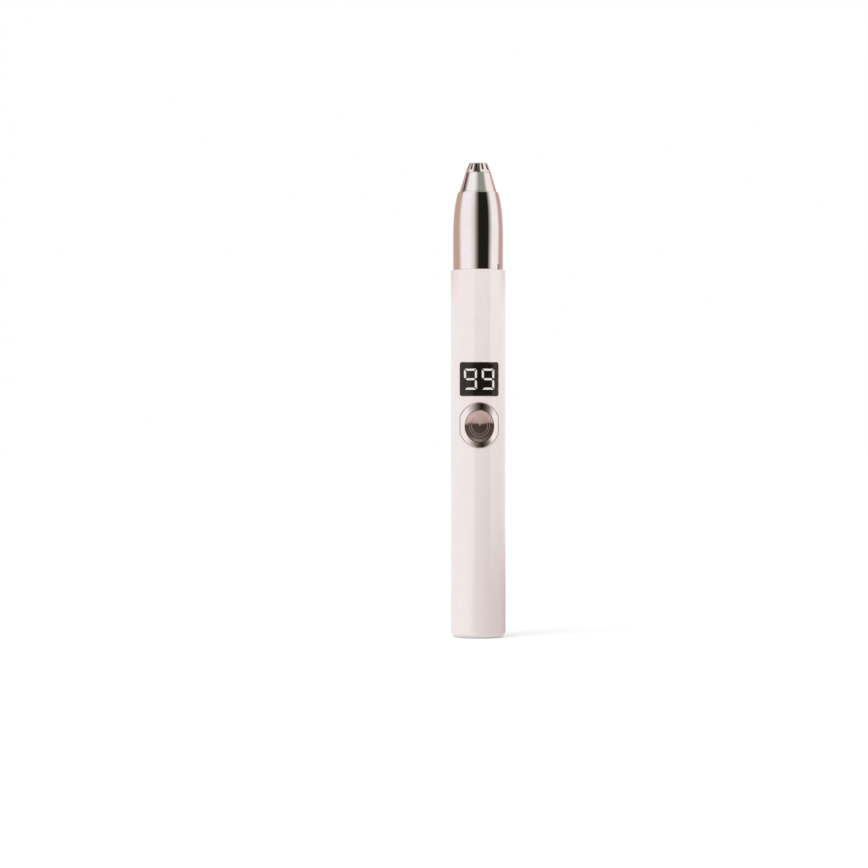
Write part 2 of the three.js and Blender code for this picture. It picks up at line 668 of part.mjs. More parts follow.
function addMotor(group) {
  const bore = motorRadius - CAN_WALL;
  const nose = bearingRadius + SEAT;
  const lid = MOTOR_LENGTH - CAN_WALL;
  const can = [[bore, 0], [motorRadius, 0], [motorRadius, MOTOR_LENGTH], [nose, MOTOR_LENGTH]];
  can.push([nose, lid], [bore, lid], [bore, 0]);
  add(group, "motor_can", turned(can, INNER_SIDES), "steel");
  add(group, "motor_damper", ring(motorRadius + SEAT, damperOuter, 0, MOTOR_LENGTH, INNER_SIDES), "rubber");

  const brush = (side, grow) =>
    block(
      side > 0 ? [brushInner - grow, brushOuter + grow] : [-brushOuter - grow, -brushInner + grow],
      [-BRUSH_WIDTH / 2 - grow, BRUSH_WIDTH / 2 + grow],
      [-TERMINAL_LENGTH, commutatorTop],
    );
  const cap = ring(bearingRadius + SEAT, bore - SEAT, 0, END_CAP, INNER_SIDES);
  const brushSlots = brush(1, SEAT).add(brush(-1, SEAT));
  add(group, "motor_end_cap", cap.subtract(brushSlots), "dark");
  add(group, "brush_positive", brush(1, 0), "copper");
  add(group, "brush_negative", brush(-1, 0), "copper");

  const bearing = (z0, z1) => ring(shaftRadius + RUN, bearingRadius, z0, z1, SHAFT_SIDES);
  add(group, "motor_rear_bearing", bearing(0, END_CAP), "brass");
  add(group, "motor_front_bearing", bearing(lid - BEARING_PROUD, MOTOR_LENGTH + BEARING_PROUD), "brass");

  const half = ((MAGNET_ANGLE / 2) * Math.PI) / 180;
  for (const [name, middle] of [["magnet_right", 0], ["magnet_left", Math.PI]]) {
    const arc = new THREE.Shape()
      .absarc(0, 0, magnetOuter, middle - half, middle + half)
      .absarc(0, 0, magnetOuter - MAGNET_THICKNESS, middle + half, middle - half, true)
      .closePath();
    add(group, name, uprightPrism(arc, coreBottom - MAGNET_OVERHANG, coreTop + MAGNET_OVERHANG), "magnet");
  }
}

function addRotor(group) {
  const hub = shaftRadius + SEAT + CORE_HUB_WALL;
  const stemEnd = rotorRadius - POLE_SHOE / 2;
  const stem = blockGeometry([0, stemEnd], [-POLE_WIDTH / 2, POLE_WIDTH / 2], [coreBottom, coreTop]);
  const half = ((POLE_SHOE_ANGLE / 2) * Math.PI) / 180;
  const shoe = new THREE.Shape()
    .absarc(0, 0, rotorRadius, -half, half)
    .absarc(0, 0, rotorRadius - POLE_SHOE, half, -half, true)
    .closePath();
  const options = { depth: coreTop - coreBottom, bevelEnabled: false, curveSegments: ARC_STEPS / 2 };
  const shoes = spun(new THREE.ExtrudeGeometry(shoe, options).translate(0, 0, coreBottom), POLE_COUNT);
  const poles = joined([rod(hub, coreBottom, coreTop, SHAFT_SIDES), spun(stem, POLE_COUNT), shoes]);
  const shaftHole = rod(shaftRadius + SEAT, coreBottom - OVERCUT, coreTop + OVERCUT, SHAFT_SIDES);
  add(group, "rotor_core", poles.subtract(shaftHole), "steel");

  const inner = POLE_WIDTH / 2 + SEAT;
  const outer = inner + WINDING_THICKNESS;
  const reach = rotorRadius - POLE_SHOE - SEAT;
  const span = [hub + SEAT, Math.sqrt(reach ** 2 - outer ** 2)];
  const grown = [coreBottom - SEAT - WINDING_THICKNESS, coreTop + SEAT + WINDING_THICKNESS];
  for (let i = 0; i < POLE_COUNT; i += 1) {
    const angle = (2 * Math.PI * i) / POLE_COUNT;
    const loop = solid(blockGeometry(span, [-outer, outer], grown).rotateZ(angle));
    const gap = blockGeometry([0, rotorRadius], [-inner, inner], [coreBottom - SEAT, coreTop + SEAT]);
    add(group, `rotor_winding_${i + 1}`, loop.subtract(solid(gap.rotateZ(angle))), "copper");
  }

  const sleeve = ring(shaftRadius + SEAT, commutatorRadius, commutatorBottom, commutatorTop, SHAFT_SIDES);
  add(group, "commutator", sleeve, "copper");

  const shoulder = neckTop - motorBase;
  const shaftTop = shoulder - DOG_DIAMETER / 2;
  add(group, "motor_shaft", rod(shaftRadius, SEAT, shaftTop, SHAFT_SIDES), "steel");

  const dogRadius = DOG_DIAMETER / 2;
  const post = rod(dogRadius, dogBase, shoulder, SHAFT_SIDES);
  const tongue = block(
    [-DOG_DIAMETER, DOG_DIAMETER],
    [-DOG_TONGUE_THICKNESS / 2, DOG_TONGUE_THICKNESS / 2],
    [shoulder - SEAT, shoulder + DOG_TONGUE_HEIGHT],
  ).intersect(rod(dogRadius, shoulder - SEAT, shoulder + DOG_TONGUE_HEIGHT, SHAFT_SIDES));
  const shaftPocket = rod(shaftRadius + SEAT, dogBase - OVERCUT, shaftTop + SEAT, SHAFT_SIDES);
  add(group, "drive_dog", post.add(tongue).subtract(shaftPocket), "brass");
}

function addNeck(group) {
  const bore = DOG_DIAMETER / 2 + NECK_BORE_PLAY;
  const grooveDepth = ORING_SECTION - ORING_PROUD;
  const grooveHalf = ORING_SECTION / 2 + SEAT;
  const grooveCentre = bodyTop + ORING_HEIGHT;
  const grooveRadius = neckRadius - grooveDepth;
  const collar = turned(
    [
      [bore, neckBottom],
      [boreRadius - FIT, neckBottom],
      [boreRadius - FIT, bodyTop],
      [neckRadius, bodyTop],
      [neckRadius, grooveCentre - grooveHalf],
      [grooveRadius, grooveCentre - grooveHalf],
      [grooveRadius, grooveCentre + grooveHalf],
      [neckRadius, grooveCentre + grooveHalf],
      [neckRadius, neckTop - ORING_PROUD],
      [neckRadius - ORING_PROUD, neckTop],
      [bore, neckTop],
      [bore, neckBottom],
    ],
    INNER_SIDES,
  );
  add(group, "neck_collar", collar, "frame");

  const section = ORING_SECTION / 2;
  const middle = grooveRadius + SEAT + section;
  const round = Array.from({ length: ORING_SIDES + 1 }, (_, i) => {
    const angle = (2 * Math.PI * i) / ORING_SIDES;
    return [middle + section * Math.cos(angle), grooveCentre + section * Math.sin(angle)];
  });
  add(group, "neck_o_ring", turned(round, INNER_SIDES), "rubber");
}

function addHead(group) {
  const curve = new THREE.QuadraticBezierCurve(
    new THREE.Vector2(barrelRadius, BARREL_STRAIGHT),
    new THREE.Vector2(barrelRadius, BARREL_STRAIGHT + BARREL_BEND),
    new THREE.Vector2(barrelTopRadius, BARREL_LENGTH),
  );
  const ogive = curve.getPoints(ARC_STEPS + 2).map((point) => [point.x, point.y]);
  const lining = curve.getPoints(2).map((point) => [point.x - BARREL_WALL, point.y]).reverse();
  const bore = barrelRadius - BARREL_WALL;
  const barrel = turned([[bore, 0], [barrelRadius, 0], ...ogive, ...lining, [bore, 0]], OUTER_SIDES);
  const angle = (TICK_ANGLE * Math.PI) / 180;
  const tick = blockGeometry(
    [-TICK_WIDTH / 2, TICK_WIDTH / 2],
    [-bodyRadius, TICK_DEPTH - barrelRadius],
    [SEAT, TICK_HEIGHT],
  ).rotateZ(angle);
  add(group, "head_barrel", barrel.subtract(solid(tick)), "chrome");
  add(group, "barrel_insert", ring(insertInner, insertOuter, SEAT, INSERT_LENGTH, INNER_SIDES), "frame");

  const spigot = barrelTopRadius - BARREL_WALL - FIT;
  const coneRadius = barrelTopRadius - CONE_STEP;
  const coneBase = BARREL_LENGTH + SEAT;
  const cone = [[bushRadius + SEAT, webBottom], [spigot, webBottom], [spigot, coneBase]];
  cone.push([coneRadius, coneBase], [coneTopRadius, coneTop], [coneTopRadius - CONE_WALL, coneTop]);
  cone.push([spigot - CONE_WALL, coneBase], [spigot - CONE_WALL, webTop], [bushRadius + SEAT, webTop]);
  cone.push([bushRadius + SEAT, webBottom]);
  add(group, "head_cone", turned(cone, OUTER_SIDES), "chrome");

  const bush = [[cutterShaftRadius + RUN, webBottom], [bushRadius, webBottom], [bushRadius, webTop + SEAT]];
  bush.push([bushRadius + BUSH_FLANGE, webTop + SEAT], [bushRadius + BUSH_FLANGE, bushTop]);
  bush.push([cutterShaftRadius + RUN, bushTop], [cutterShaftRadius + RUN, webBottom]);
  add(group, "guide_bush", turned(bush, SHAFT_SIDES), "brass");
}

function guardRadius(z) {
  const share = (z - coneTop) / GUARD_LENGTH;
  return coneTopRadius + (guardTopRadius - coneTopRadius) * share;
}

function addGuard(group) {
  const base = coneTop + SEAT;
  const ledge = base + GUARD_LEDGE;
  const ceiling = guardTop - GUARD_ROOF;
  const spigotOuter = coneTopRadius - CONE_WALL - FIT;
  const spigotInner = spigotOuter - GUARD_WALL;
  const cup = turned(
    [
      [0, ceiling],
      [guardRadius(ceiling) - GUARD_WALL, ceiling],
      [guardRadius(ledge) - GUARD_WALL, ledge],
      [spigotInner, ledge],
      [spigotInner, base - GUARD_SPIGOT],
      [spigotOuter, base - GUARD_SPIGOT],
      [spigotOuter, base],
      [guardRadius(base), base],
      [guardTopRadius, guardTop],
      [0, guardTop],
    ],
    3 * SLOT_COUNT,
  );
  const slot = blockGeometry(
    [SLOT_INNER_DIAMETER / 2, CONE_TOP_DIAMETER],
    [-SLOT_WIDTH / 2, SLOT_WIDTH / 2],
    [guardTop - SLOT_DEPTH, guardTop + OVERCUT],
  ).rotateZ(-Math.PI / 2 - (SLOT_TURN * Math.PI) / 180);
  add(group, "cutter_guard", cup.subtract(spun(slot, SLOT_COUNT)), "chrome");
}

class Helix extends THREE.Curve {
  constructor(radius, turns, bottom, top) {
    super();
    Object.assign(this, { radius, turns, bottom, top });
  }

  getPoint(t) {
    const angle = 2 * Math.PI * this.turns * t;
    const z = this.bottom + (this.top - this.bottom) * t;
    return new THREE.Vector3(this.radius * Math.cos(angle), this.radius * Math.sin(angle), z);
  }
}

// The least clear space between one turn of a coil and the next.
function leastGap(curve, steps) {
  const points = curve.getPoints(steps);
  const far = points.flatMap((a, i) => points.slice(i + SPRING_STEPS / 2).map((b) => a.distanceTo(b)));
  return Math.min(...far) - SPRING_WIRE;
}

function addCutter(group) {
  const sweep = turned(
    [
      [0, bladeBottom],
      [guardRadius(bladeBottom) - GUARD_WALL - BLADE_GAP, bladeBottom],
      [guardRadius(bladeTop) - GUARD_WALL - BLADE_GAP, bladeTop],
      [0, bladeTop],
    ],
    INNER_SIDES,
  );
  const fin = blockGeometry(
    [0, coneTopRadius],
    [-BLADE_THICKNESS / 2, BLADE_THICKNESS / 2],
    [bladeBottom, bladeTop],
  );
  const hubRadius = cutterShaftRadius + SEAT + HUB_WALL;
  const hub = rod(hubRadius, hubBottom, bladeTop, SHAFT_SIDES);
  const shaftTop = bladeBottom;
  const pocket = rod(cutterShaftRadius + SEAT, hubBottom - OVERCUT, shaftTop + SEAT, SHAFT_SIDES);
  const blade = spun(fin, BLADE_COUNT).intersect(sweep).add(hub).subtract(pocket);
  add(group, "cutter_blade", blade, "steel");
  add(group, "cutter_shaft", rod(cutterShaftRadius, cutterShaftBottom, shaftTop, SHAFT_SIDES), "steel");

  const springRadius = cutterShaftRadius + SPRING_PLAY + SPRING_WIRE / 2;
  const margin = SEAT + SPRING_WIRE / 2;
  const helix = new Helix(springRadius, SPRING_TURNS, bushTop + margin, hubBottom - margin);
  const steps = SPRING_STEPS * SPRING_TURNS;
  const section = circleShape(SPRING_WIRE / 2, 0, 0, SPRING_SIDES);
  const wound = new THREE.ExtrudeGeometry(section, { extrudePath: helix, steps, bevelEnabled: false });
  add(group, "cutter_spring", solid(wound), "steel");
  console.log("cutter_spring least gap", leastGap(helix, steps).toFixed(2), "mm");

  const clipTop = webBottom - STACK_GAP;
  const clip = ring(
    cutterShaftRadius + SEAT,
    cutterShaftRadius + CLIP_WIDTH,
    clipTop - CLIP_THICKNESS,
    clipTop,
    SHAFT_SIDES,
  );
  const mouth = block(
    [0, 2 * cutterShaftRadius + CLIP_WIDTH],
    [-CLIP_MOUTH / 2, CLIP_MOUTH / 2],
    [clipTop - CLIP_THICKNESS - OVERCUT, clipTop + OVERCUT],
  );
  add(group, "retaining_clip", clip.subtract(mouth), "steel");

  const socketRadius = SOCKET_DIAMETER / 2;
  const socketTop = socketBottom + SOCKET_LENGTH;
  const slotHalf = DOG_TONGUE_THICKNESS / 2 + FIT;
  const slot = block(
    [-SOCKET_DIAMETER, SOCKET_DIAMETER],
    [-slotHalf, slotHalf],
    [socketBottom - OVERCUT, socketSlotTop],
  ).intersect(rod(DOG_DIAMETER / 2 + FIT, socketBottom - OVERCUT, socketSlotTop, SHAFT_SIDES));
  const shaftHole = rod(cutterShaftRadius + SEAT, cutterShaftBottom - SEAT, socketTop + OVERCUT, SHAFT_SIDES);
  const socket = rod(socketRadius, socketBottom, socketTop, SHAFT_SIDES).subtract(slot).subtract(shaftHole);
  add(group, "drive_socket", socket, "dark");
}

// A round wire along a smooth path through hand-chosen points.
function addWire(group, name, points, finish) {
  const path = new THREE.CatmullRomCurve3(points.map((p) => new THREE.Vector3(...p)), false, "centripetal");
  const section = circleShape(WIRE_DIAMETER / 2, 0, 0, WIRE_SIDES);
  const options = { extrudePath: path, steps: 2 * points.length, bevelEnabled: false };
  add(group, name, solid(new THREE.ExtrudeGeometry(section, options)), finish);
}

// Charge and battery wires run up the front of the cell to the main board.
function addWires(group) {
  const lane = (sleeveOuter + boreRadius) / 2;
  const wireRadius = WIRE_DIAMETER / 2;
  const onLane = (degrees, z, inset = 0) => {
    const angle = (degrees * Math.PI) / 180;
    return [(lane - inset) * Math.sin(angle), (inset - lane) * Math.cos(angle), z];
  };
  const padFront = boardFront - wireRadius - SEAT;
  const padBack = boardBack + wireRadius + SEAT;
  const padEdge = boardHalf - WIRE_DIAMETER;
  const usbFront = USB_HEIGHT / 2 - wireRadius;
  const crossing = usbBoardTop - PAD_SETBACK;
  for (const [name, side, finish] of [
    ["charge_wire_positive", 1, "wireRed"],
    ["charge_wire_negative", -1, "wireBlack"],
  ]) {
    const points = [
      [side * CHARGE_PAD_SPREAD, usbFront, crossing],
      [side * (CHARGE_PAD_SPREAD + wireRadius), 0, crossing],
      onLane(side * 68, crossing + wireRadius, WIRE_DIAMETER),
      onLane(side * 60, chassisBottom + 2),
      onLane(side * 60, (cellBottom + cellTop) / 2),
      onLane(side * 60, cellTop - 4),
      [side * padEdge, padFront, boardBottom - WIRE_DIAMETER],
      [side * padEdge, padFront, boardBottom + PAD_SETBACK],
    ];
    addWire(group, name, points, finish);
  }
  const negative = [
    [0.9, 1 - tabReach, cellBottom - 0.72],
    [1, -tabReach - 0.5, cellBottom - 0.72],
    onLane(11, cellBottom - 0.1),
    onLane(16, cellBottom + 4),
    onLane(20, (cellBottom + cellTop) / 2),
    onLane(20, cellTop - 3),
    onLane(20, cellTop),
    [2.4, 0.1 - tabReach, cellTop + 1.4],
    [BATTERY_PAD_SPREAD, padFront - 0.3, boardBottom + 0.6],
    [BATTERY_PAD_SPREAD, padFront, boardBottom + PAD_SETBACK],
  ];
  addWire(group, "battery_wire_negative", negative, "wireBlack");
  const positive = [
    [-1, 0.5 - tabReach, cellTop + 0.75],
    [-1.8, 0.8 - tabReach, cellTop + 1.1],
    [-BATTERY_PAD_SPREAD, padFront - 0.3, boardBottom + 0.5],
    [-BATTERY_PAD_SPREAD, padFront, boardBottom + PAD_SETBACK],
  ];
  addWire(group, "battery_wire_positive", positive, "wireRed");
  const terminalEnd = motorBase - TERMINAL_LENGTH;
  for (const [name, side, finish] of [
    ["motor_wire_positive", 1, "wireRed"],
    ["motor_wire_negative", -1, "wireBlack"],
  ]) {
    const points = [
      [side * (brushInner + brushOuter) / 2, 0, terminalEnd - 2 * SEAT],
      [side * (brushOuter + SEAT), 0.3, terminalEnd - 1.2],
      [side * 2.5, 0, terminalEnd - 2.2],
      [side * MOTOR_PAD_SPREAD, padBack + 0.3, boardTop - MOTOR_PAD_SETBACK + WIRE_DIAMETER],
      [side * MOTOR_PAD_SPREAD, padBack, boardTop - MOTOR_PAD_SETBACK],
    ];
    addWire(group, name, points, finish);
  }
}

const trimmer = new THREE.Group();
const body = new THREE.Group();
const motor = new THREE.Group();
const head = new THREE.Group();
motor.position.z = motorBase;
head.position.z = headBase;
trimmer.add(body, motor, head);

addBodyShell(body);
addTail(body);
addChassis(body);
addBattery(body);
addMainBoard(body);
addDisplay(body);
addBezel(body);
addButton(body);
addNeck(body);
addWires(body);
addMotor(motor);
addRotor(motor);
addHead(head);
addGuard(head);
addCutter(head);

export default trimmer;
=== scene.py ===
"""Pen-shaped electric eyebrow trimmer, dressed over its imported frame.

Lengths are in millimetres and angles in degrees, until Blender gets them.
"""
import json
import math

import bmesh
import bpy
from mathutils import Matrix, Vector


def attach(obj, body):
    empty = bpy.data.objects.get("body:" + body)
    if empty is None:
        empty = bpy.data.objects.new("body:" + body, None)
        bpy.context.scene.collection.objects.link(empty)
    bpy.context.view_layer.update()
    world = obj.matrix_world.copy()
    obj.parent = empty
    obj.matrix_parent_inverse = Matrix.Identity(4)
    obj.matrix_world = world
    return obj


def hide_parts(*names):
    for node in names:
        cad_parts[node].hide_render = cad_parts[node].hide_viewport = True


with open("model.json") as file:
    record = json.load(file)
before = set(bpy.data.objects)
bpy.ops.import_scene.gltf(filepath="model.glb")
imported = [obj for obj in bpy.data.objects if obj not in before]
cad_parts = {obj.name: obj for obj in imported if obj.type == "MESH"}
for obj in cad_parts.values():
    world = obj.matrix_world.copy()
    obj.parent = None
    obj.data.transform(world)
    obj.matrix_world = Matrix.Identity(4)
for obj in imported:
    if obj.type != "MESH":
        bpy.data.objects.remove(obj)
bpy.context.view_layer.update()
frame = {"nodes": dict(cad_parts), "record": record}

MM = 0.001

# The main sizes match the frame, so that each piece fits where its node was

# Body and tail
BODY_RADIUS = 7.8
BORE_RADIUS = 6.7
BODY_TOP = 104.4
TAIL_FILLET = 1.4
TAIL_LIP_RADIUS = 5.8
TAIL_LIP_HEIGHT = 1.6
TAIL_CAP_RADIUS = 6.55
TAIL_CAP_STEP = 1.65
TAIL_CAP_TOP = 2.65
FIT = 0.15

# Charging inlet
USB_WIDTH = 8.94
USB_HEIGHT = 3.26
USB_WALL = 0.3
USB_BOTTOM = 0.6
USB_TOP = 8.0
CORE_MARGIN = 0.7
CORE_BASE = 6.5
TONGUE_WIDTH = 6.7
TONGUE_THICKNESS = 0.7
TONGUE_CORNER = 0.15
CONTACT_COUNT = 12
CONTACT_PITCH = 0.5
CONTACT_WIDTH = 0.26
CONTACT_LOW = 1.9
CONTACT_HIGH = 6.4
CONTACT_BACK = 0.34
CONTACT_FACE = 0.38

# Window and digits
LENS_WIDTH = 10.7
LENS_HEIGHT = 9.4
LENS_CORNER = 0.5
LENS_CORNER_LEAST = 0.05
LENS_INNER = 7.0
LENS_CENTRE = 73.3
LENS_POCKET = 0.85
LIGHT_LEDGE = 0.5
LIGHT_INNER = 3
DIGIT_WIDTH = 3.6
DIGIT_HEIGHT = 6.05
DIGIT_STROKE = 0.7
DIGIT_BAR = 0.56
DIGIT_PITCH = 4.8
DIGIT_FACE = 6.75
DIGIT_BACK = 2.7
DIGIT_WEB = 0.5
SEGMENT_GAP = 0.22
SEGMENT_CORNER = 0.03
NINE = "abcdfg"

# Button and its surround
BUTTON_CENTRE = 60.02
BUTTON_REACH = 4.05
BUTTON_RISE = 4.5
BUTTON_FACE = 8.15
BUTTON_BACK = 4.7
# The button's face falls back by the square of the distance from its middle over these
DOME_ACROSS = 17.5
DOME_UP = 70
SLEEVE_GAP = 0.75
SLEEVE_INNER = 1
BEZEL_CENTRE = 60.295
BEZEL_REACH = 5.75
BEZEL_RISE = 6.325
BEZEL_FLAT = 5.35
BEZEL_INNER = 7.2
BEZEL_FACE = 8.05
BEZEL_GAP = 0.08
BEZEL_POCKET = 0.65
SYMBOL_RADIUS = 2.55
SYMBOL_STROKE = 0.8
SYMBOL_LEDGE = 0.07
SYMBOL_CHANNEL = 0.42
SYMBOL_DEPTH = 0.22
SYMBOL_OPENING = 70
SYMBOL_BAR_LOW = 0.05
SYMBOL_BAR_HIGH = 2.95
SYMBOL_BAR_WIDTH = 0.5

# Neck and drive key, with heights above or depths below the body's top
NECK_BORE = 1.7
NECK_FLANGE = 6.55
NECK_RADIUS = 5.225
NECK_DEPTH = 3.8
NECK_HEIGHT = 7.3
GROOVE_RADIUS = 4.625
GROOVE_HEIGHT = 3.05
GROOVE_WIDTH = 1.1
SEAL_RADIUS = 5.175
SEAL_SECTION = 0.5
SEAL_POINTS = 24
DRIVE_BORE = 0.55
DRIVE_RADIUS = 1.3
DRIVE_DEPTH = 3.5
DRIVE_WEB = 1.25
DRIVE_TONGUE_HALF = 0.45

# Head
HEAD_BASE = 104.55
SKIN_BASE = 104.46
BARREL_RADIUS = 7.175
BARREL_STRAIGHT = 113.2
BARREL_BEND = 122.0
BARREL_TOP = 126.6
BARREL_TOP_RADIUS = 5.8
BARREL_WALL = 0.8
TICK_ANGLE = 49
TICK_WIDTH = 0.4
TICK_HEIGHT = 1.4
TICK_DEPTH = 0.18
LINER_INNER = 5.775
LINER_OUTER = 6.225
LINER_LOW = 0.05
LINER_HIGH = 8.2
CONE_BASE = 126.65
CONE_TOP = 132.15
CONE_RADIUS = 5.4
CONE_TOP_RADIUS = 3.7
CONE_TOP_INNER = 3.0
CONE_BORE = 1.76
SPIGOT_RADIUS = 4.85
SPIGOT_INNER = 4.15
SPIGOT_DEPTH = 3
SPIGOT_HOLLOW = 1.5
GUARD_BASE = 132.2
GUARD_TOP = 135.0
GUARD_TOP_RADIUS = 2.55
GUARD_WALL = 0.35
GUARD_CEILING = 134.7
GUARD_FLOOR = 132.7
GUARD_RING_BASE = 131.2
GUARD_RING_INNER = 2.5
GUARD_RING_RADIUS = 2.85
SLOT_COUNT = 12
SLOT_WIDTH = 0.6
SLOT_DEPTH = 2.0
SLOT_INNER = 1.5
SLOT_TURN = 9

# Rounded edges, as (distance in from the edge, drop below the face)
LENS_EDGE = [(0, 0.2), (0, 0.14), (0.02, 0.08), (0.06, 0.03), (0.14, 0), (0.2, 0), (0.3, 0)]
BUTTON_EDGE = [(0, 0.24), (0.01, 0.14), (0.04, 0.06), (0.1, 0.015), (0.18, 0), (0.24, 0)]
BEZEL_LIP = [(0, 0.16), (0, 0.1), (0.01, 0.05), (0.03, 0.02), (0.06, 0.005), (0.1, 0), (0.16, 0)]
BEZEL_EDGE = [(0, 0.2), (0, 0.13), (0.005, 0.09), (0.02, 0.055), (0.05, 0.025), (0.08, 0.008)]
BEZEL_EDGE += [(0.12, 0), (0.18, 0)]

# Meshes
ROUND_SIDES = 160
BARREL_SIDES = 192
GUARD_SIDES = 168
INNER_SIDES = 96
DRIVE_SIDES = 48
OVAL_POINTS = 192
OGIVE_STEPS = 40
SYMBOL_STEPS = 72
SMOOTH_ANGLE = 35
MERGE_DISTANCE = 1e-4
# Cutters end this far from the axis, clear of the pen
CLEAR = 12
# Long edges get a support point this far from either end
SUPPORT_INSET = 0.05
SUPPORT_LENGTH = 0.4


# Mesh helpers

def linked(name, data):
    """A new object in the scene."""
    obj = bpy.data.objects.new(name, data)
    bpy.context.scene.collection.objects.link(obj)
    return obj


def soften(mesh):
    """Smooth shading, with sharp edges kept."""
    mesh.shade_smooth()
    mesh.set_sharp_from_angle(angle=math.radians(SMOOTH_ANGLE))


def dressed(name, mesh, materials):
    """An object of a finished mesh."""
    for material in materials:
        mesh.materials.append(material)
    soften(mesh)
    return linked(name, mesh)


def make(name, verts, faces, *materials):
    """A closed mesh with outward normals."""
    mesh = bpy.data.meshes.new(name)
    mesh.from_pydata([[c * MM for c in v] for v in verts], [], faces)
    bm = bmesh.new()
    bm.from_mesh(mesh)
    bmesh.ops.remove_doubles(bm, verts=bm.verts, dist=MERGE_DISTANCE * MM)
    bmesh.ops.recalc_face_normals(bm, faces=bm.faces)
    bm.to_mesh(mesh)
    bm.free()
    return dressed(name, mesh, materials)


def joined(name, pieces):
    """Several meshes as one object, each with its own materials."""
    bm = bmesh.new()
    materials = []
    for piece in pieces:
        start = len(bm.faces)
        bm.from_mesh(piece.data)
        bm.faces.ensure_lookup_table()
        for face in bm.faces[start:]:
            local = piece.data.materials[face.material_index]
            if local not in materials:
                materials.append(local)
            face.material_index = materials.index(local)
        bpy.data.objects.remove(piece)
    mesh = bpy.data.meshes.new(name)
    bm.to_mesh(mesh)
    bm.free()
    return dressed(name, mesh, materials)


def carve(obj, *cutters):
    """Takes the cutters out of obj; the cut faces carry the cutters' materials."""
    for cutter in cutters:
        cut = obj.modifiers.new("cut", "BOOLEAN")
        cut.operation = "DIFFERENCE"
        cut.solver = "EXACT"
        cut.material_mode = "TRANSFER"
        cut.object = cutter
    depsgraph = bpy.context.evaluated_depsgraph_get()
    mesh = bpy.data.meshes.new_from_object(obj.evaluated_get(depsgraph))
    obj.modifiers.clear()
    obj.data = mesh
    for cutter in cutters:
        bpy.data.objects.remove(cutter)
    soften(mesh)
    return obj


def tube_normals(obj, radius):
    """Gives the faces of a round wall that was cut the normals of the whole round."""
    outward, on_wall = 0.99, 0.02
    mesh = obj.data
    normals = [Vector(corner.vector) for corner in mesh.corner_normals]
    for face in mesh.polygons:
        out = Vector((face.center.x, face.center.y, 0)).normalized()
        if face.normal.dot(out) < outward:
            continue
        for loop in face.loop_indices:
            at = mesh.vertices[mesh.loops[loop].vertex_index].co
            if abs(math.hypot(at.x, at.y) - radius * MM) < on_wall * MM:
                normals[loop] = Vector((at.x, at.y, 0)).normalized()
    mesh.normals_split_custom_set(normals)


def rounded(corners, steps=5):
    """A closed outline of (x, y, fillet) corners, with the fillets drawn and long edges supported."""
    points = []
    for i, (x, y, fillet) in enumerate(corners):
        here = Vector((x, y))
        if fillet == 0:
            points.append(here)
            continue
        before = (Vector(corners[i - 1][:2]) - here).normalized()
        after = (Vector(corners[(i + 1) % len(corners)][:2]) - here).normalized()
        half = before.angle(after) / 2
        centre = here + (before + after).normalized() * (fillet / math.sin(half))
        start = here + before * (fillet / math.tan(half)) - centre
        end = here + after * (fillet / math.tan(half)) - centre
        turn = math.atan2(start.x * end.y - start.y * end.x, start.dot(end))
        first = math.atan2(start.y, start.x)
        for k in range(steps + 1):
            angle = first + turn * k / steps
            points.append(centre + fillet * Vector((math.cos(angle), math.sin(angle))))
    outline = []
    for i, point in enumerate(points):
        after = points[(i + 1) % len(points)]
        length = (after - point).length
        outline.append(point)
        if length > SUPPORT_LENGTH:
            outline.append(point.lerp(after, SUPPORT_INSET / length))
            outline.append(after.lerp(point, SUPPORT_INSET / length))
    return outline


def turned(name, outline, sides, *materials):
    """A closed (radius, height) outline turned about Z."""
    verts, rings, faces = [], [], []
    for r, z in outline:
        ring = [len(verts)]
        if r == 0:
            verts.append((0, 0, z))
        else:
            ring = [len(verts) + k for k in range(sides)]
            for k in range(sides):
                angle = 2 * math.pi * k / sides
                verts.append((r * math.cos(angle), r * math.sin(angle), z))
        rings.append(ring)
    for a, b in zip(rings, rings[1:] + rings[:1]):
        if len(a) == len(b) == 1:
            continue
        for k in range(sides):
            face = [a[k % len(a)], a[(k + 1) % len(a)], b[(k + 1) % len(b)], b[k % len(b)]]
            faces.append(tuple(dict.fromkeys(face)))
    return make(name, verts, faces, *materials)


def lofted(name, loops, *materials, closed=False):
    """Skins a row of loops with equal counts, with its ends capped, or joined where it is closed."""
    verts = [point for loop in loops for point in loop]
    count = len(loops[0])
    faces = []
    for i in range(len(loops) if closed else len(loops) - 1):
        a, b = i * count, (i + 1) % len(loops) * count
        for k in range(count):
            n = (k + 1) % count
            faces.append((a + k, a + n, b + n, b + k))
    if not closed:
        faces.append(tuple(range(count)))
        faces.append(tuple(range(len(verts) - count, len(verts))))
    return make(name, verts, faces, *materials)


def rectangle(xs, ys):
    return [(xs[0], ys[0]), (xs[1], ys[0]), (xs[1], ys[1]), (xs[0], ys[1])]


def box(name, xs, ys, zs, *materials, turn=0):
    """A block, turned about Z."""
    c, s = math.cos(math.radians(turn)), math.sin(math.radians(turn))
    loops = [[(c * x - s * y, s * x + c * y, z) for x, y in rectangle(xs, ys)] for z in zs]
    return lofted(name, loops, *materials)


def at_height(outline, z):
    """Lays an (x, y) outline level."""
    return [(x, y, z) for x, y in outline]


def upright(outline, centre, front):
    """Stands an (x, height) outline that far in front of the axis."""
    return [(x, -front, centre + z) for x, z in outline]


def on_round(outline, centre, radius):
    """Lays an (x, height) outline on the front of a round of that radius."""
    return [(x, -math.sqrt(radius * radius - x * x), centre + z) for x, z in outline]


def scaled(outline, share):
    return [(x * share, z * share) for x, z in outline]


def pocket(name, rim, centre, radius):
    """A cutter with that rim, from a round floor out through the front."""
    floor = [on_round(scaled(rim, share), centre, radius) for share in (0.02, 0.25, 0.5, 0.75, 1)]
    return lofted(name, floor + [upright(rim, centre, CLEAR)])


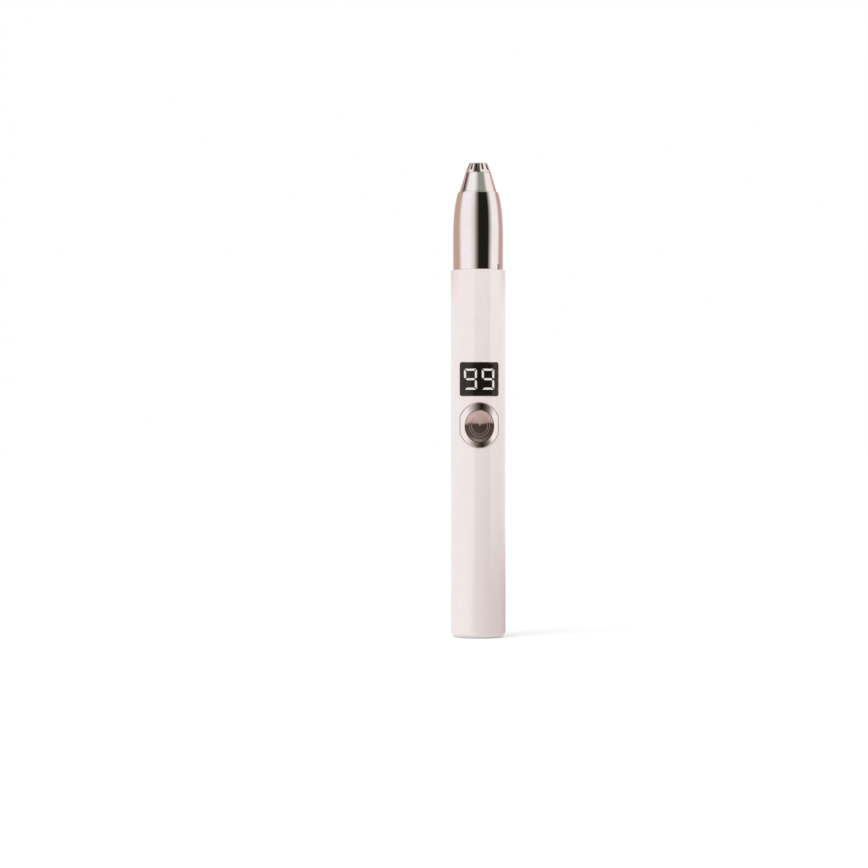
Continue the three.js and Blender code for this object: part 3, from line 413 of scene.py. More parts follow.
def shaft(name, rim, centre, front):
    """A cutter with that rim, from a flat floor out through the front."""
    return lofted(name, [upright(rim, centre, CLEAR), upright(rim, centre, front)])


def round_rectangle(width, height, corner, across=24, up=12, arc=6):
    """A rectangle with round corners, evenly divided so that insets match point for point."""
    w, h = width / 2, height / 2
    points = []
    for cx, cz, quarter in ((w, h, 0), (-w, h, 1), (-w, -h, 2), (w, -h, 3)):
        mx, mz = cx - math.copysign(corner, cx), cz - math.copysign(corner, cz)
        for k in range(arc + 1):
            angle = math.pi / 2 * (quarter + k / arc)
            points.append((mx + corner * math.cos(angle), mz + corner * math.sin(angle)))
        side, length = (across, 2 * (w - corner)) if quarter % 2 == 0 else (up, 2 * (h - corner))
        x, z = points[-1]
        for k in range(1, side):
            step = length * k / side
            points.append([(x - step, z), (x, z - step), (x + step, z), (x, z + step)][quarter])
    return points


def oval(reach, rise, count=OVAL_POINTS):
    turns = [2 * math.pi * k / count for k in range(count)]
    return [(reach * math.cos(turn), rise * math.sin(turn)) for turn in turns]


def stadium(width, height, arc=24):
    """A slot with round ends."""
    reach, radius = (width - height) / 2, height / 2
    points = []
    for side, first in ((reach, -math.pi / 2), (-reach, math.pi / 2)):
        for k in range(arc + 1):
            angle = first + math.pi * k / arc
            points.append((side + radius * math.cos(angle), radius * math.sin(angle)))
    return points


def lens_outline(inset):
    corner = max(LENS_CORNER - inset, LENS_CORNER_LEAST)
    return round_rectangle(LENS_WIDTH - 2 * inset, LENS_HEIGHT - 2 * inset, corner)


def button_outline(grow, count=OVAL_POINTS):
    return oval(BUTTON_REACH + grow, BUTTON_RISE + grow, count)


def bezel_outline(inset):
    """An oval with a flat on either side, point for point with the button's."""
    flat = BEZEL_FLAT - inset
    points = []
    for x, z in oval(BEZEL_REACH - inset, BEZEL_RISE - inset):
        share = flat / max(abs(x), flat)
        points.append((x * share, z * share))
    return points


# Material helpers

# Most of a noise node's values lie between these
NOISE_LOW, NOISE_HIGH = 0.3, 0.7
# A wave node at scale 1 repeats after this many metres
WAVE_PERIOD = 0.314
# The mix node's colour sockets
MIX_A, MIX_B, MIX_RESULT = 6, 7, 2


def linear(*rgb):
    """Screen colour, 0 to 255, as linear light."""
    return [(c / 255 / 12.92 if c <= 10 else ((c / 255 + 0.055) / 1.055) ** 2.4) for c in rgb] + [1]


class Shader:
    """A principled material whose varied inputs come from nodes in the object's own space."""

    def __init__(self, name, **constants):
        self.material = bpy.data.materials.new(name)
        self.material.use_nodes = True
        self.tree = self.material.node_tree
        self.bsdf = self.tree.nodes["Principled BSDF"]
        self.space = self.tree.nodes.new("ShaderNodeTexCoord").outputs["Object"]
        self.set(**constants)

    def put(self, socket, value):
        if isinstance(value, bpy.types.NodeSocket):
            self.tree.links.new(value, socket)
        else:
            socket.default_value = value

    def set(self, **inputs):
        for key, value in inputs.items():
            self.put(self.bsdf.inputs[key.replace("_", " ")], value)

    def node(self, kind, **inputs):
        node = self.tree.nodes.new(kind)
        for key, value in inputs.items():
            self.put(node.inputs[key.replace("_", " ")], value)
        return node

    def mapped(self, scale=(1, 1, 1), shift=(0, 0, 0)):
        node = self.node("ShaderNodeMapping", Vector=self.space, Scale=scale, Location=shift)
        return node.outputs["Vector"]

    def noise(self, size, stretch=(1, 1, 1)):
        """Noise whose blotches are about that size."""
        vector = self.mapped(stretch)
        node = self.node("ShaderNodeTexNoise", Vector=vector, Scale=1 / (size * MM), Detail=4)
        return node.outputs["Fac"]

    def between(self, fac, low, high):
        """Noise brought to a range."""
        node = self.node("ShaderNodeMapRange", Value=fac, To_Min=low, To_Max=high)
        self.put(node.inputs["From Min"], NOISE_LOW)
        self.put(node.inputs["From Max"], NOISE_HIGH)
        return node.outputs["Result"]

    def math(self, operation, a, b):
        node = self.tree.nodes.new("ShaderNodeMath")
        node.operation = operation
        self.put(node.inputs[0], a)
        self.put(node.inputs[1], b)
        return node.outputs[0]

    def mix(self, fac, a, b):
        node = self.tree.nodes.new("ShaderNodeMix")
        node.data_type = "RGBA"
        self.put(node.inputs[0], fac)
        self.put(node.inputs[MIX_A], a)
        self.put(node.inputs[MIX_B], b)
        return node.outputs[MIX_RESULT]

    def ramp(self, fac, stops):
        node = self.node("ShaderNodeValToRGB", Fac=fac)
        while len(node.color_ramp.elements) < len(stops):
            node.color_ramp.elements.new(0.5)
        for element, (place, tone) in zip(node.color_ramp.elements, stops):
            element.position = place
            element.color = linear(*tone)
        return node.outputs["Color"]

    def bump(self, height, depth):
        node = self.node("ShaderNodeBump", Height=height, Distance=depth * MM)
        self.put(self.bsdf.inputs["Normal"], node.outputs["Normal"])


def plain(name, dark, light, rough, grain, depth, stretch=(1, 1, 1), **constants):
    """A finish with a mottled colour, a varied roughness and a fine grain of that size and depth."""
    mottle_size = 12 * grain
    shader = Shader(name, **constants)
    mottle = shader.between(shader.noise(mottle_size), 0, 1)
    fine = shader.noise(grain, stretch)
    shader.set(Base_Color=shader.mix(mottle, linear(*dark), linear(*light)))
    shader.set(Roughness=shader.between(fine, *rough))
    shader.bump(fine, depth)
    return shader.material


# Tones of a painted reflection up the button's height, dark below the middle and pinkish above, from
# its foot at 0 to its top at 1
BUTTON_PAINTED_REFLECTION = [
    (0.02, (170, 158, 146)),
    (0.1, (120, 107, 97)),
    (0.22, (84, 69, 60)),
    (0.545, (64, 47, 39)),
    (0.62, (206, 177, 170)),
    (0.75, (218, 189, 182)),
    (0.98, (226, 204, 198)),
]
# A painted highlight, mixed into the power symbol's ledges and bar
BUTTON_PAINTED_HIGHLIGHT = (236, 222, 212)
BUTTON_WORN = (150, 142, 136)
RING_PITCH = 0.16
RING_DEPTH = 0.004
WANDER_SIZE = 2.4
WANDER_REACH = 1.8


def button_finish(name, highlight_share):
    """Spun metal with a painted reflection, pinkish above and dark below, and fine rings about the
    button's own axis.
    """
    shader = Shader(name, Metallic=0.35)
    centred = shader.mapped(shift=(0, 0, -BUTTON_CENTRE * MM))
    scale = WAVE_PERIOD / (RING_PITCH * MM)
    rings = shader.node("ShaderNodeTexWave", Vector=centred, Scale=scale, Distortion=0.4)
    rings.wave_type = "RINGS"
    rings.rings_direction = "Y"
    groove = rings.outputs["Fac"]
    height = shader.node("ShaderNodeSeparateXYZ", Vector=centred).outputs["Z"]
    drift = shader.math("SUBTRACT", shader.noise(WANDER_SIZE), 0.5)
    wander = shader.math("MULTIPLY", drift, WANDER_REACH * MM)
    rise = shader.math("MULTIPLY", shader.math("ADD", height, wander), 0.5 / (BUTTON_RISE * MM))
    # The ramp paints a reflection into the colour: pinkish above, dark below, its horizon wandering
    # with the noise
    tone = shader.ramp(shader.math("ADD", rise, 0.5), BUTTON_PAINTED_REFLECTION)
    # The painted highlight is mixed in by that share
    reflection_and_highlight = shader.mix(highlight_share, tone, linear(*BUTTON_PAINTED_HIGHLIGHT))
    # The fine rings go over the painted reflection and the painted highlight
    painted_light_with_rings = shader.mix(shader.between(groove, 0, 0.12), reflection_and_highlight, linear(*BUTTON_WORN))
    shader.set(Base_Color=painted_light_with_rings, Roughness=shader.between(groove, 0.42, 0.52))
    shader.bump(groove, RING_DEPTH)
    return shader.material


def lens_finish(name):
    """Smoked clear plastic."""
    shader = Shader(name, Transmission_Weight=1.0, IOR=1.49, Specular_IOR_Level=0.18)
    haze = shader.noise(1.5)
    shader.set(Base_Color=shader.mix(haze, linear(88, 88, 89), linear(93, 93, 94)))
    shader.set(Roughness=shader.between(haze, 0.015, 0.04))
    return shader.material


def light_finish(name):
    """A milky light guide, lit from behind."""
    shader = Shader(name, Emission_Strength=8.2)
    cloud = shader.noise(0.5)
    colour = shader.mix(cloud, linear(247, 243, 237), linear(255, 252, 246))
    shader.set(Base_Color=colour, Emission_Color=colour, Roughness=shader.between(cloud, 0.4, 0.6))
    return shader.material


# Finishes by slot, as (dark, light, roughness, grain, its depth) and for some its stretch
NON_METALS = {
    "black_plastic": ((16, 16, 17), (24, 24, 25), (0.4, 0.6), 0.12, 0.003),
    "grey_plastic": ((196, 195, 192), (206, 205, 202), (0.38, 0.5), 0.15, 0.003),
    "magnet": ((44, 44, 46), (58, 58, 60), (0.5, 0.7), 0.1, 0.004),
    "rubber": ((22, 22, 23), (32, 32, 33), (0.6, 0.8), 0.1, 0.004),
    "board": ((16, 84, 48), (26, 104, 62), (0.3, 0.45), 0.3, 0.003),
    "cell_sleeve": ((52, 96, 168), (64, 112, 184), (0.22, 0.32), 0.3, 0.003),
    "wire_red": ((158, 28, 24), (178, 38, 32), (0.35, 0.5), 0.12, 0.002),
    "wire_black": ((22, 22, 23), (32, 32, 33), (0.4, 0.55), 0.12, 0.002),
}
METALS = {
    "chrome": ((238, 234, 231), (243, 239, 237), (0.035, 0.06), 0.2, 0.00002),
    "steel": ((176, 176, 173), (196, 196, 193), (0.18, 0.32), 0.07, 0.001, (1, 1, 8)),
    "brass": ((188, 152, 84), (206, 172, 104), (0.2, 0.34), 0.07, 0.001, (1, 1, 10)),
    "copper": ((168, 94, 58), (190, 112, 70), (0.25, 0.4), 0.08, 0.002, (1, 1, 6)),
}
SHELL_FINISH = ((242, 234, 233), (244, 236, 235), (0.05, 0.08), 0.25, 0.0004)
SHELL_GLOSS = {"Specular_IOR_Level": 0.9, "Coat_Weight": 0.45, "Coat_Roughness": 0.04}
finishes = {name: plain(name, *values) for name, values in NON_METALS.items()}
finishes.update({name: plain(name, *values, Metallic=1.0) for name, values in METALS.items()})
finishes["white_shell"] = plain("white_shell", *SHELL_FINISH, **SHELL_GLOSS)
finishes["button_metal"] = button_finish("button_metal", 0.0)
finishes["smoked_lens"] = lens_finish("smoked_lens")
finishes["digit_white"] = light_finish("digit_lit")

# Finishes of single features
GUARD_FINISH = ((230, 227, 224), (238, 235, 232), (0.07, 0.12), 0.1, 0.00005)
DIGIT_OFF_FINISH = ((20, 20, 21), (26, 26, 27), (0.45, 0.6), 0.1, 0.001)
guard_chrome = plain("guard_chrome", *GUARD_FINISH, Metallic=1.0)
# The power symbol's ledges and bar get a painted highlight
button_ledge_highlight = button_finish("button_ledge_highlight", 0.4)
digit_off = plain("digit_off", *DIGIT_OFF_FINISH)


def place(obj, body, slot, node):
    """Puts a piece on its body in place of the node it stands for."""
    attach(obj, body)
    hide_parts(node)


# Body

def add_shell():
    outline = rounded(
        [
            (TAIL_LIP_RADIUS, 0, 0.1),
            (BODY_RADIUS, 0, TAIL_FILLET),
            (BODY_RADIUS, BODY_TOP, 0.25),
            (BORE_RADIUS, BODY_TOP, 0.1),
            (BORE_RADIUS, TAIL_LIP_HEIGHT, 0),
            (TAIL_LIP_RADIUS, TAIL_LIP_HEIGHT, 0),
        ],
        steps=10,
    )
    shell = turned("outer_shell", outline, ROUND_SIDES, finishes["white_shell"])
    carve(
        shell,
        pocket("lens_recess", lens_outline(-FIT), LENS_CENTRE, BODY_RADIUS - LENS_POCKET),
        shaft("light_window", lens_outline(LIGHT_LEDGE), LENS_CENTRE, LIGHT_INNER),
        pocket("bezel_seat", bezel_outline(-FIT), BEZEL_CENTRE, BODY_RADIUS - BEZEL_POCKET),
        shaft("sleeve_hole", button_outline(SLEEVE_GAP, INNER_SIDES), BUTTON_CENTRE, SLEEVE_INNER),
    )
    tube_normals(shell, BODY_RADIUS)
    place(shell, "body", "white_shell", "body_shell")


def add_window():
    rim = lens_outline(0)
    face = lens_outline(LENS_EDGE[-1][0])
    shares = (0.02, 0.25, 0.5, 0.75, 0.95)
    loops = [on_round(scaled(rim, share), LENS_CENTRE, LENS_INNER) for share in (*shares, 1)]
    loops += [on_round(lens_outline(inset), LENS_CENTRE, BODY_RADIUS - d) for inset, d in LENS_EDGE]
    loops += [on_round(scaled(face, share), LENS_CENTRE, BODY_RADIUS) for share in shares[::-1]]
    place(lofted("window", loops, finishes["smoked_lens"]), "body", "smoked_lens", "display_lens")


def segment(start, end, start_mitre, end_mitre):
    """A lit bar from start to end, as an (x, height) outline.

    A mitre is 1 where the bar's left is longer, -1 where its right is, and 0 where it is pointed.
    """
    a, b = Vector(start), Vector(end)
    along = (b - a).normalized()
    side = Vector((-along.y, along.x))
    half = DIGIT_BAR / 2
    points = []
    for at, mitre, way in ((b, end_mitre, -1), (a, start_mitre, 1)):
        for out in (-1, 0, 1) if mitre == 0 else (-1, 1):
            out *= -way
            setback = SEGMENT_GAP + half * (abs(out) if mitre == 0 else -mitre * out)
            points.append(at + along * way * setback + side * out * half)
    return rounded([(p.x, p.y, SEGMENT_CORNER) for p in points], steps=3)


def add_digit(name, node, x, lit):
    """Seven light guides of one digit; the faces of those named in lit glow."""
    w, h = (DIGIT_WIDTH - DIGIT_STROKE) / 2, (DIGIT_HEIGHT - DIGIT_STROKE) / 2
    bars = {
        "a": ((-w, h), (w, h), 1, 1),
        "b": ((w, 0), (w, h), 0, -1),
        "c": ((w, -h), (w, 0), -1, 0),
        "d": ((-w, -h), (w, -h), -1, -1),
        "e": ((-w, -h), (-w, 0), 1, 0),
        "f": ((-w, 0), (-w, h), 0, 1),
        "g": ((-w, 0), (w, 0), 0, 0),
    }
    root = DIGIT_BACK + DIGIT_WEB
    pieces = []
    for letter, bar in bars.items():
        shape = [(x + u, v) for u, v in segment(*bar)]
        loops = [on_round(shape, LENS_CENTRE, DIGIT_FACE), upright(shape, LENS_CENTRE, root)]
        guide = lofted(name + letter, loops, digit_off, finishes["digit_white"])
        for face in guide.data.polygons:
            face.material_index = int(letter in lit and face.normal.y < -0.5)
        pieces.append(guide)
    xs = (x - DIGIT_WIDTH / 2, x + DIGIT_WIDTH / 2)
    zs = (LENS_CENTRE - DIGIT_HEIGHT / 2, LENS_CENTRE + DIGIT_HEIGHT / 2)
    pieces.append(box(name + "web", xs, (-root, -DIGIT_BACK), zs, digit_off))
    place(joined(name, pieces), "body", "digit_white", node)


def add_bezel():
    loops = [on_round(button_outline(BEZEL_GAP), BUTTON_CENTRE, BEZEL_INNER)]
    for out, drop in BEZEL_LIP:
        loops.append(on_round(button_outline(BEZEL_GAP + out), BUTTON_CENTRE, BEZEL_FACE - drop))
    for inset, drop in BEZEL_EDGE[::-1]:
        loops.append(on_round(bezel_outline(inset), BEZEL_CENTRE, BEZEL_FACE - drop))
    loops.append(on_round(bezel_outline(0), BEZEL_CENTRE, BEZEL_INNER))
    bezel = lofted("surround", loops, finishes["chrome"], closed=True)
    place(bezel, "body", "chrome", "button_bezel")


def on_dome(outline, drop=0.0):
    """Lays an (x, height) outline on the button's face, or that far below it."""
    points = []
    for x, z in outline:
        y = -BUTTON_FACE + x * x / DOME_ACROSS + z * z / DOME_UP
        points.append((x, y + drop, BUTTON_CENTRE + z))
    return points


def to_front(floor):
    """The points of a cutter's floor, moved out in front of the pen."""
    return [(x, -CLEAR, z) for x, y, z in floor]


def symbol_arc(name, stroke, depth, finish):
    """The power symbol's open ring, as a cutter of that width and depth."""
    inner, outer = SYMBOL_RADIUS - stroke / 2, SYMBOL_RADIUS + stroke / 2
    narrower = math.degrees((SYMBOL_STROKE - stroke) / 2 / SYMBOL_RADIUS)
    first = 90 + SYMBOL_OPENING / 2 + narrower
    sweep = 360 - SYMBOL_OPENING - 2 * narrower
    loops = []
    for k in range(SYMBOL_STEPS + 1):
        angle = math.radians(first + sweep * k / SYMBOL_STEPS)
        c, s = math.cos(angle), math.sin(angle)
        floor = on_dome([(inner * c, inner * s), (outer * c, outer * s)], depth)
        loops.append(floor + to_front(floor[::-1]))
    return lofted(name, loops, finish)


def symbol_bar(name, depth, finish):
    """The power symbol's upright bar, as a cutter of that depth."""
    length, middle = SYMBOL_BAR_HIGH - SYMBOL_BAR_LOW, (SYMBOL_BAR_HIGH + SYMBOL_BAR_LOW) / 2
    bar = round_rectangle(SYMBOL_BAR_WIDTH, length, SYMBOL_BAR_WIDTH / 3, across=4, up=20)
    floor = on_dome([(x, z + middle) for x, z in bar], depth)
    return lofted(name, [floor, to_front(floor)], finish)


def add_button():
    metal = finishes["button_metal"]
    rim = button_outline(0)
    loops = [upright(scaled(rim, share), BUTTON_CENTRE, BUTTON_BACK) for share in (0.02, 1)]
    loops += [on_dome(button_outline(-inset), drop) for inset, drop in BUTTON_EDGE]
    loops += [on_dome(scaled(rim, share / 10)) for share in (9, 8, 7, 6, 5, 4, 3, 2, 1, 0.2)]
    button = lofted("push_button", loops, metal)
    carve(
        button,
        symbol_arc("ledge", SYMBOL_STROKE, SYMBOL_LEDGE, button_ledge_highlight),
        symbol_arc("channel", SYMBOL_CHANNEL, SYMBOL_DEPTH, metal),
        symbol_bar("bar", SYMBOL_LEDGE, button_ledge_highlight),
    )
    place(button, "button", "button_metal", "power_button")


def add_tail():
    outline = rounded(
        [
            (0, 0, 0),
            (TAIL_LIP_RADIUS - FIT, 0, 0.15),
            (TAIL_LIP_RADIUS - FIT, TAIL_CAP_STEP, 0),
            (TAIL_CAP_RADIUS, TAIL_CAP_STEP, 0),
            (TAIL_CAP_RADIUS, TAIL_CAP_TOP, 0),
            (0, TAIL_CAP_TOP, 0),
        ],
    )
    plug = turned("tail_plug", outline, INNER_SIDES, finishes["white_shell"])
    wide, tall = USB_WIDTH + 2 * FIT, USB_HEIGHT + 2 * FIT
    flare = ((0.8, -1), (0.4, -0.01), (0, 0.2), (0, 4))
    mouth = [at_height(stadium(wide + grow, tall + grow), z) for grow, z in flare]
    carve(plug, lofted("usb_mouth", mouth))
    place(plug, "body", "white_shell", "tail_cap")


def add_inlet():
    wall = [
        (0, USB_TOP),
        (0, USB_BOTTOM + 0.1),
        (0.05, USB_BOTTOM + 0.03),
        (0.15, USB_BOTTOM),
        (0.25, USB_BOTTOM + 0.03),
        (USB_WALL, USB_BOTTOM + 0.1),
        (USB_WALL, USB_TOP),
    ]
    loops = []
    for inset, z in wall:
        loops.append(at_height(stadium(USB_WIDTH - 2 * inset, USB_HEIGHT - 2 * inset), z))
    sleeve = lofted("usb_sleeve", loops, finishes["steel"], closed=True)
    place(sleeve, "body", "steel", "usb_shell")

    black, brass = finishes["black_plastic"], finishes["brass"]
    section = round_rectangle(TONGUE_WIDTH, TONGUE_THICKNESS, TONGUE_CORNER, across=12, up=2, arc=3)
    nose = ((0.93, 1.4), (0.98, 1.45), (1, 1.55), (1, 6.6))
    tongue = [at_height(scaled(section, share), z) for share, z in nose]
    core = stadium(USB_WIDTH - CORE_MARGIN, USB_HEIGHT - CORE_MARGIN)
    pieces = [
        lofted("tongue", tongue, black),
        lofted("core", [at_height(core, z) for z in (CORE_BASE, USB_TOP)], black),
    ]
    for ys in ((-CONTACT_FACE, -CONTACT_BACK), (CONTACT_BACK, CONTACT_FACE)):
        for k in range(CONTACT_COUNT):
            x = (k - (CONTACT_COUNT - 1) / 2) * CONTACT_PITCH
            xs = (x - CONTACT_WIDTH / 2, x + CONTACT_WIDTH / 2)
            pieces.append(box("contact", xs, ys, (CONTACT_LOW, CONTACT_HIGH), brass))
    place(joined("usb_core", pieces), "body", "black_plastic", "usb_tongue")


def add_neck():
    base, top = BODY_TOP - NECK_DEPTH, BODY_TOP + NECK_HEIGHT
    groove_low = BODY_TOP + GROOVE_HEIGHT
    groove_high = groove_low + GROOVE_WIDTH
    outline = rounded(
        [
            (NECK_BORE, base, 0),
            (NECK_FLANGE, base, 0),
            (NECK_FLANGE, BODY_TOP, 0.12),
            (NECK_RADIUS, BODY_TOP, 0.15),
            (NECK_RADIUS, groove_low, 0.08),
            (GROOVE_RADIUS, groove_low, 0.08),
            (GROOVE_RADIUS, groove_high, 0.08),
            (NECK_RADIUS, groove_high, 0.08),
            (NECK_RADIUS, top, 0.45),
            (NECK_BORE, top, 0.15),
        ],
    )
    neck = turned("neck_post", outline, INNER_SIDES, finishes["grey_plastic"])
    place(neck, "body", "grey_plastic", "neck_collar")

    middle = groove_low + GROOVE_WIDTH / 2
    ring = oval(SEAL_SECTION, SEAL_SECTION, SEAL_POINTS)
    section = [(SEAL_RADIUS + x, middle + z) for x, z in ring]
    seal = turned("neck_seal", section, INNER_SIDES, finishes["rubber"])
    place(seal, "body", "rubber", "neck_o_ring")


def add_drive_key():
    brass = finishes["brass"]
    base, top = BODY_TOP - DRIVE_DEPTH, BODY_TOP + NECK_HEIGHT
    outline = rounded(
        [
            (DRIVE_BORE, base, 0.05),
            (DRIVE_RADIUS, base, 0.1),
            (DRIVE_RADIUS, top, 0.1),
            (0, top, 0),
            (0, top - DRIVE_WEB, 0),
            (DRIVE_BORE, top - DRIVE_WEB, 0),
        ],
    )
    half = math.asin(DRIVE_TONGUE_HALF / DRIVE_RADIUS)
    turns = [half * k / 4 for k in range(-4, 5)]
    side = [(DRIVE_RADIUS * math.cos(turn), DRIVE_RADIUS * math.sin(turn)) for turn in turns]
    section = side + [(-x, -y) for x, y in side]
    tongue = []
    taper = ((1, -0.1), (1, 2.7), (0.97, 2.9), (0.88, 3.0))
    for share, z in taper:
        across = min(1, share + 0.02)
        tongue.append(at_height([(x * across, y * share) for x, y in section], top + z))
    pieces = [turned("post", outline, DRIVE_SIDES, brass), lofted("tongue", tongue, brass)]
    place(joined("drive_key", pieces), "motor_rotor", "brass", "drive_dog")


# Head

def add_barrel():
    low = Vector((BARREL_RADIUS, BARREL_STRAIGHT))
    bend = Vector((BARREL_RADIUS, BARREL_BEND))
    high = Vector((BARREL_TOP_RADIUS, BARREL_TOP))
    ogive = []
    for k in range(1, OGIVE_STEPS):
        t = k / OGIVE_STEPS
        ogive.append(low * (1 - t) ** 2 + bend * 2 * t * (1 - t) + high * t**2)
    outside = [(BARREL_RADIUS, SKIN_BASE, 0.06), (*low, 0), *((*p, 0) for p in ogive), (*high, 0.05)]
    inside = [(x - BARREL_WALL, y, 0) for x, y in (high, *ogive[::-6], low)]
    outline = rounded(outside + inside + [(BARREL_RADIUS - BARREL_WALL, SKIN_BASE, 0.08)])
    barrel = turned("barrel_skin", outline, BARREL_SIDES, finishes["chrome"])
    tick = box(
        "tick",
        (-TICK_WIDTH / 2, TICK_WIDTH / 2),
        (-CLEAR, TICK_DEPTH - BARREL_RADIUS),
        (SKIN_BASE - 1, HEAD_BASE + TICK_HEIGHT),
        finishes["black_plastic"],
        turn=TICK_ANGLE,
    )
    place(carve(barrel, tick), "head", "chrome", "head_barrel")

    base, top = HEAD_BASE + LINER_LOW, HEAD_BASE + LINER_HIGH
    walls = rectangle((LINER_INNER, LINER_OUTER), (base, top))
    outline = rounded([(r, z, 0.1) for r, z in walls])
    liner = turned("barrel_liner", outline, INNER_SIDES, finishes["grey_plastic"])
    place(liner, "head", "grey_plastic", "barrel_insert")


def add_cone():
    base, hollow = BARREL_TOP - SPIGOT_DEPTH, BARREL_TOP - SPIGOT_HOLLOW
    outline = rounded(
        [
            (CONE_BORE, base, 0),
            (SPIGOT_RADIUS, base, 0.1),
            (SPIGOT_RADIUS, CONE_BASE, 0),
            (CONE_RADIUS, CONE_BASE, 0.06),
            (CONE_TOP_RADIUS, CONE_TOP, 0.08),
            (CONE_TOP_INNER, CONE_TOP, 0),
            (SPIGOT_INNER, CONE_BASE, 0),
            (SPIGOT_INNER, hollow, 0),
            (CONE_BORE, hollow, 0),
        ],
    )
    cone = turned("nose_cone", outline, ROUND_SIDES, finishes["chrome"])
    place(cone, "head", "chrome", "head_cone")


def guard_radius(z):
    """The crown tapers on from the cone's top."""
    share = (z - CONE_TOP) / (GUARD_TOP - CONE_TOP)
    return CONE_TOP_RADIUS + (GUARD_TOP_RADIUS - CONE_TOP_RADIUS) * share


def add_guard():
    outline = rounded(
        [
            (0, GUARD_CEILING, 0),
            (guard_radius(GUARD_CEILING) - GUARD_WALL, GUARD_CEILING, 0),
            (guard_radius(GUARD_FLOOR) - GUARD_WALL, GUARD_FLOOR, 0),
            (GUARD_RING_INNER, GUARD_FLOOR, 0),
            (GUARD_RING_INNER, GUARD_RING_BASE, 0),
            (GUARD_RING_RADIUS, GUARD_RING_BASE, 0),
            (GUARD_RING_RADIUS, GUARD_BASE, 0),
            (guard_radius(GUARD_BASE), GUARD_BASE, 0.06),
            (GUARD_TOP_RADIUS, GUARD_TOP, 0.3),
            (0, GUARD_TOP, 0),
        ],
    )
    guard = turned("guard_crown", outline, GUARD_SIDES, guard_chrome)
    xs, ys = (SLOT_INNER, CLEAR), (-SLOT_WIDTH / 2, SLOT_WIDTH / 2)
    zs = (GUARD_TOP - SLOT_DEPTH, GUARD_TOP + 1)
    slots = []
    for k in range(SLOT_COUNT):
        turn = -90 - SLOT_TURN + 360 * k / SLOT_COUNT
        slots.append(box("slot", xs, ys, zs, guard_chrome, turn=turn))
    place(carve(guard, joined("slots", slots)), "head", "chrome", "cutter_guard")


add_shell()
add_window()
add_digit("tens_bars", "digit_tens", -DIGIT_PITCH / 2, NINE)
add_digit("units_bars", "digit_units", DIGIT_PITCH / 2, NINE)
add_bezel()
add_button()
add_tail()
add_inlet()
add_neck()
add_drive_key()
add_barrel()
add_cone()
add_guard()

# Carried-over nodes take the finish of their slot
for part in frame["record"]["subparts"]:
    node = frame["nodes"][part["node"]]
    node.data.materials.clear()
    node.data.materials.append(finishes[part["material_slot"]])


# Studio

CAMERA_DISTANCE = 750
CAMERA_SIDE = 12.58
CAMERA_HEIGHT = 57.8
CAMERA_TURN = -2
CAMERA_LENS = 109.07
CAMERA_SENSOR = 36
CAMERA_NEAR = 10
CAMERA_SPIN = Matrix.Rotation(math.radians(CAMERA_TURN), 3, "Z")
FLOOR_REACH = 6000
FLOOR_DROP = 0.05
FLOOR_TONE = (0.82, 0.82, 0.82, 1)
LIFT_TONE = (0.92, 1, 1, 1)
LIFT_STRENGTH = 0.35
AMBIENT = (0.695, 0.645, 0.642, 1)
BACKGROUND = (1, 1, 1, 1)
LAMP_AIM = 140
LAMP_DISTANCE = 600
KEY_SOFTNESS = 40
FILL_SPREAD = 22
FILL_RADIUS = 30
CARD_RADIUS = 20


def stage_material(name, build):
    material = bpy.data.materials.new(name)
    material.use_nodes = True
    tree = material.node_tree
    tree.nodes.clear()
    build(tree, tree.nodes.new("ShaderNodeOutputMaterial").inputs["Surface"])
    return material


def seen_directly(tree):
    """1 for rays from the camera, a mirror or a lens, else 0."""
    path = tree.nodes.new("ShaderNodeLightPath")
    total = path.outputs["Is Camera Ray"]
    for name in ("Is Glossy Ray", "Is Transmission Ray"):
        node = tree.nodes.new("ShaderNodeMath")
        node.operation = "MAXIMUM"
        tree.links.new(total, node.inputs[0])
        tree.links.new(path.outputs[name], node.inputs[1])
        total = node.outputs[0]
    return total


def floor_surface(tree, surface):
    """Pale floor, lifted towards white where it is looked at, with the shadows kept."""
    matt = tree.nodes.new("ShaderNodeBsdfDiffuse")
    matt.inputs["Color"].default_value = FLOOR_TONE
    lift = tree.nodes.new("ShaderNodeEmission")
    lift.inputs["Color"].default_value = LIFT_TONE
    amount = tree.nodes.new("ShaderNodeMath")
    amount.operation = "MULTIPLY"
    amount.inputs[1].default_value = LIFT_STRENGTH
    tree.links.new(seen_directly(tree), amount.inputs[0])
    tree.links.new(amount.outputs[0], lift.inputs["Strength"])
    total = tree.nodes.new("ShaderNodeAddShader")
    tree.links.new(matt.outputs[0], total.inputs[0])
    tree.links.new(lift.outputs[0], total.inputs[1])
    tree.links.new(total.outputs[0], surface)


def add_floor():
    reach = (-FLOOR_REACH * MM, FLOOR_REACH * MM)
    mesh = bpy.data.meshes.new("floor")
    mesh.from_pydata(at_height(rectangle(reach, reach), -FLOOR_DROP * MM), [], [(0, 1, 2, 3)])
    mesh.materials.append(stage_material("floor", floor_surface))
    linked("floor", mesh)


def add_world():
    world = bpy.data.worlds.new("studio")
    bpy.context.scene.world = world
    world.use_nodes = True
    tree = world.node_tree
    tone = tree.nodes.new("ShaderNodeMix")
    tone.data_type = "RGBA"
    tone.inputs[MIX_A].default_value = AMBIENT
    tone.inputs[MIX_B].default_value = BACKGROUND
    tree.links.new(seen_directly(tree), tone.inputs[0])
    tree.links.new(tone.outputs[MIX_RESULT], tree.nodes["Background"].inputs["Color"])


def add_lamp(name, kind, azimuth, elevation, energy, colour):
    """A lamp that no mirror shows; its azimuth is to the right of the front."""
    a, e = math.radians(azimuth), math.radians(elevation)
    towards = Vector((math.sin(a) * math.cos(e), -math.cos(a) * math.cos(e), math.sin(e)))
    lamp = bpy.data.lights.new(name, kind)
    lamp.energy = energy
    lamp.color = colour
    obj = linked(name, lamp)
    obj.location = (Vector((0, 0, LAMP_AIM)) + towards * LAMP_DISTANCE) * MM
    obj.rotation_euler = towards.to_track_quat("Z", "Y").to_euler()
    obj.visible_glossy = False
    return lamp


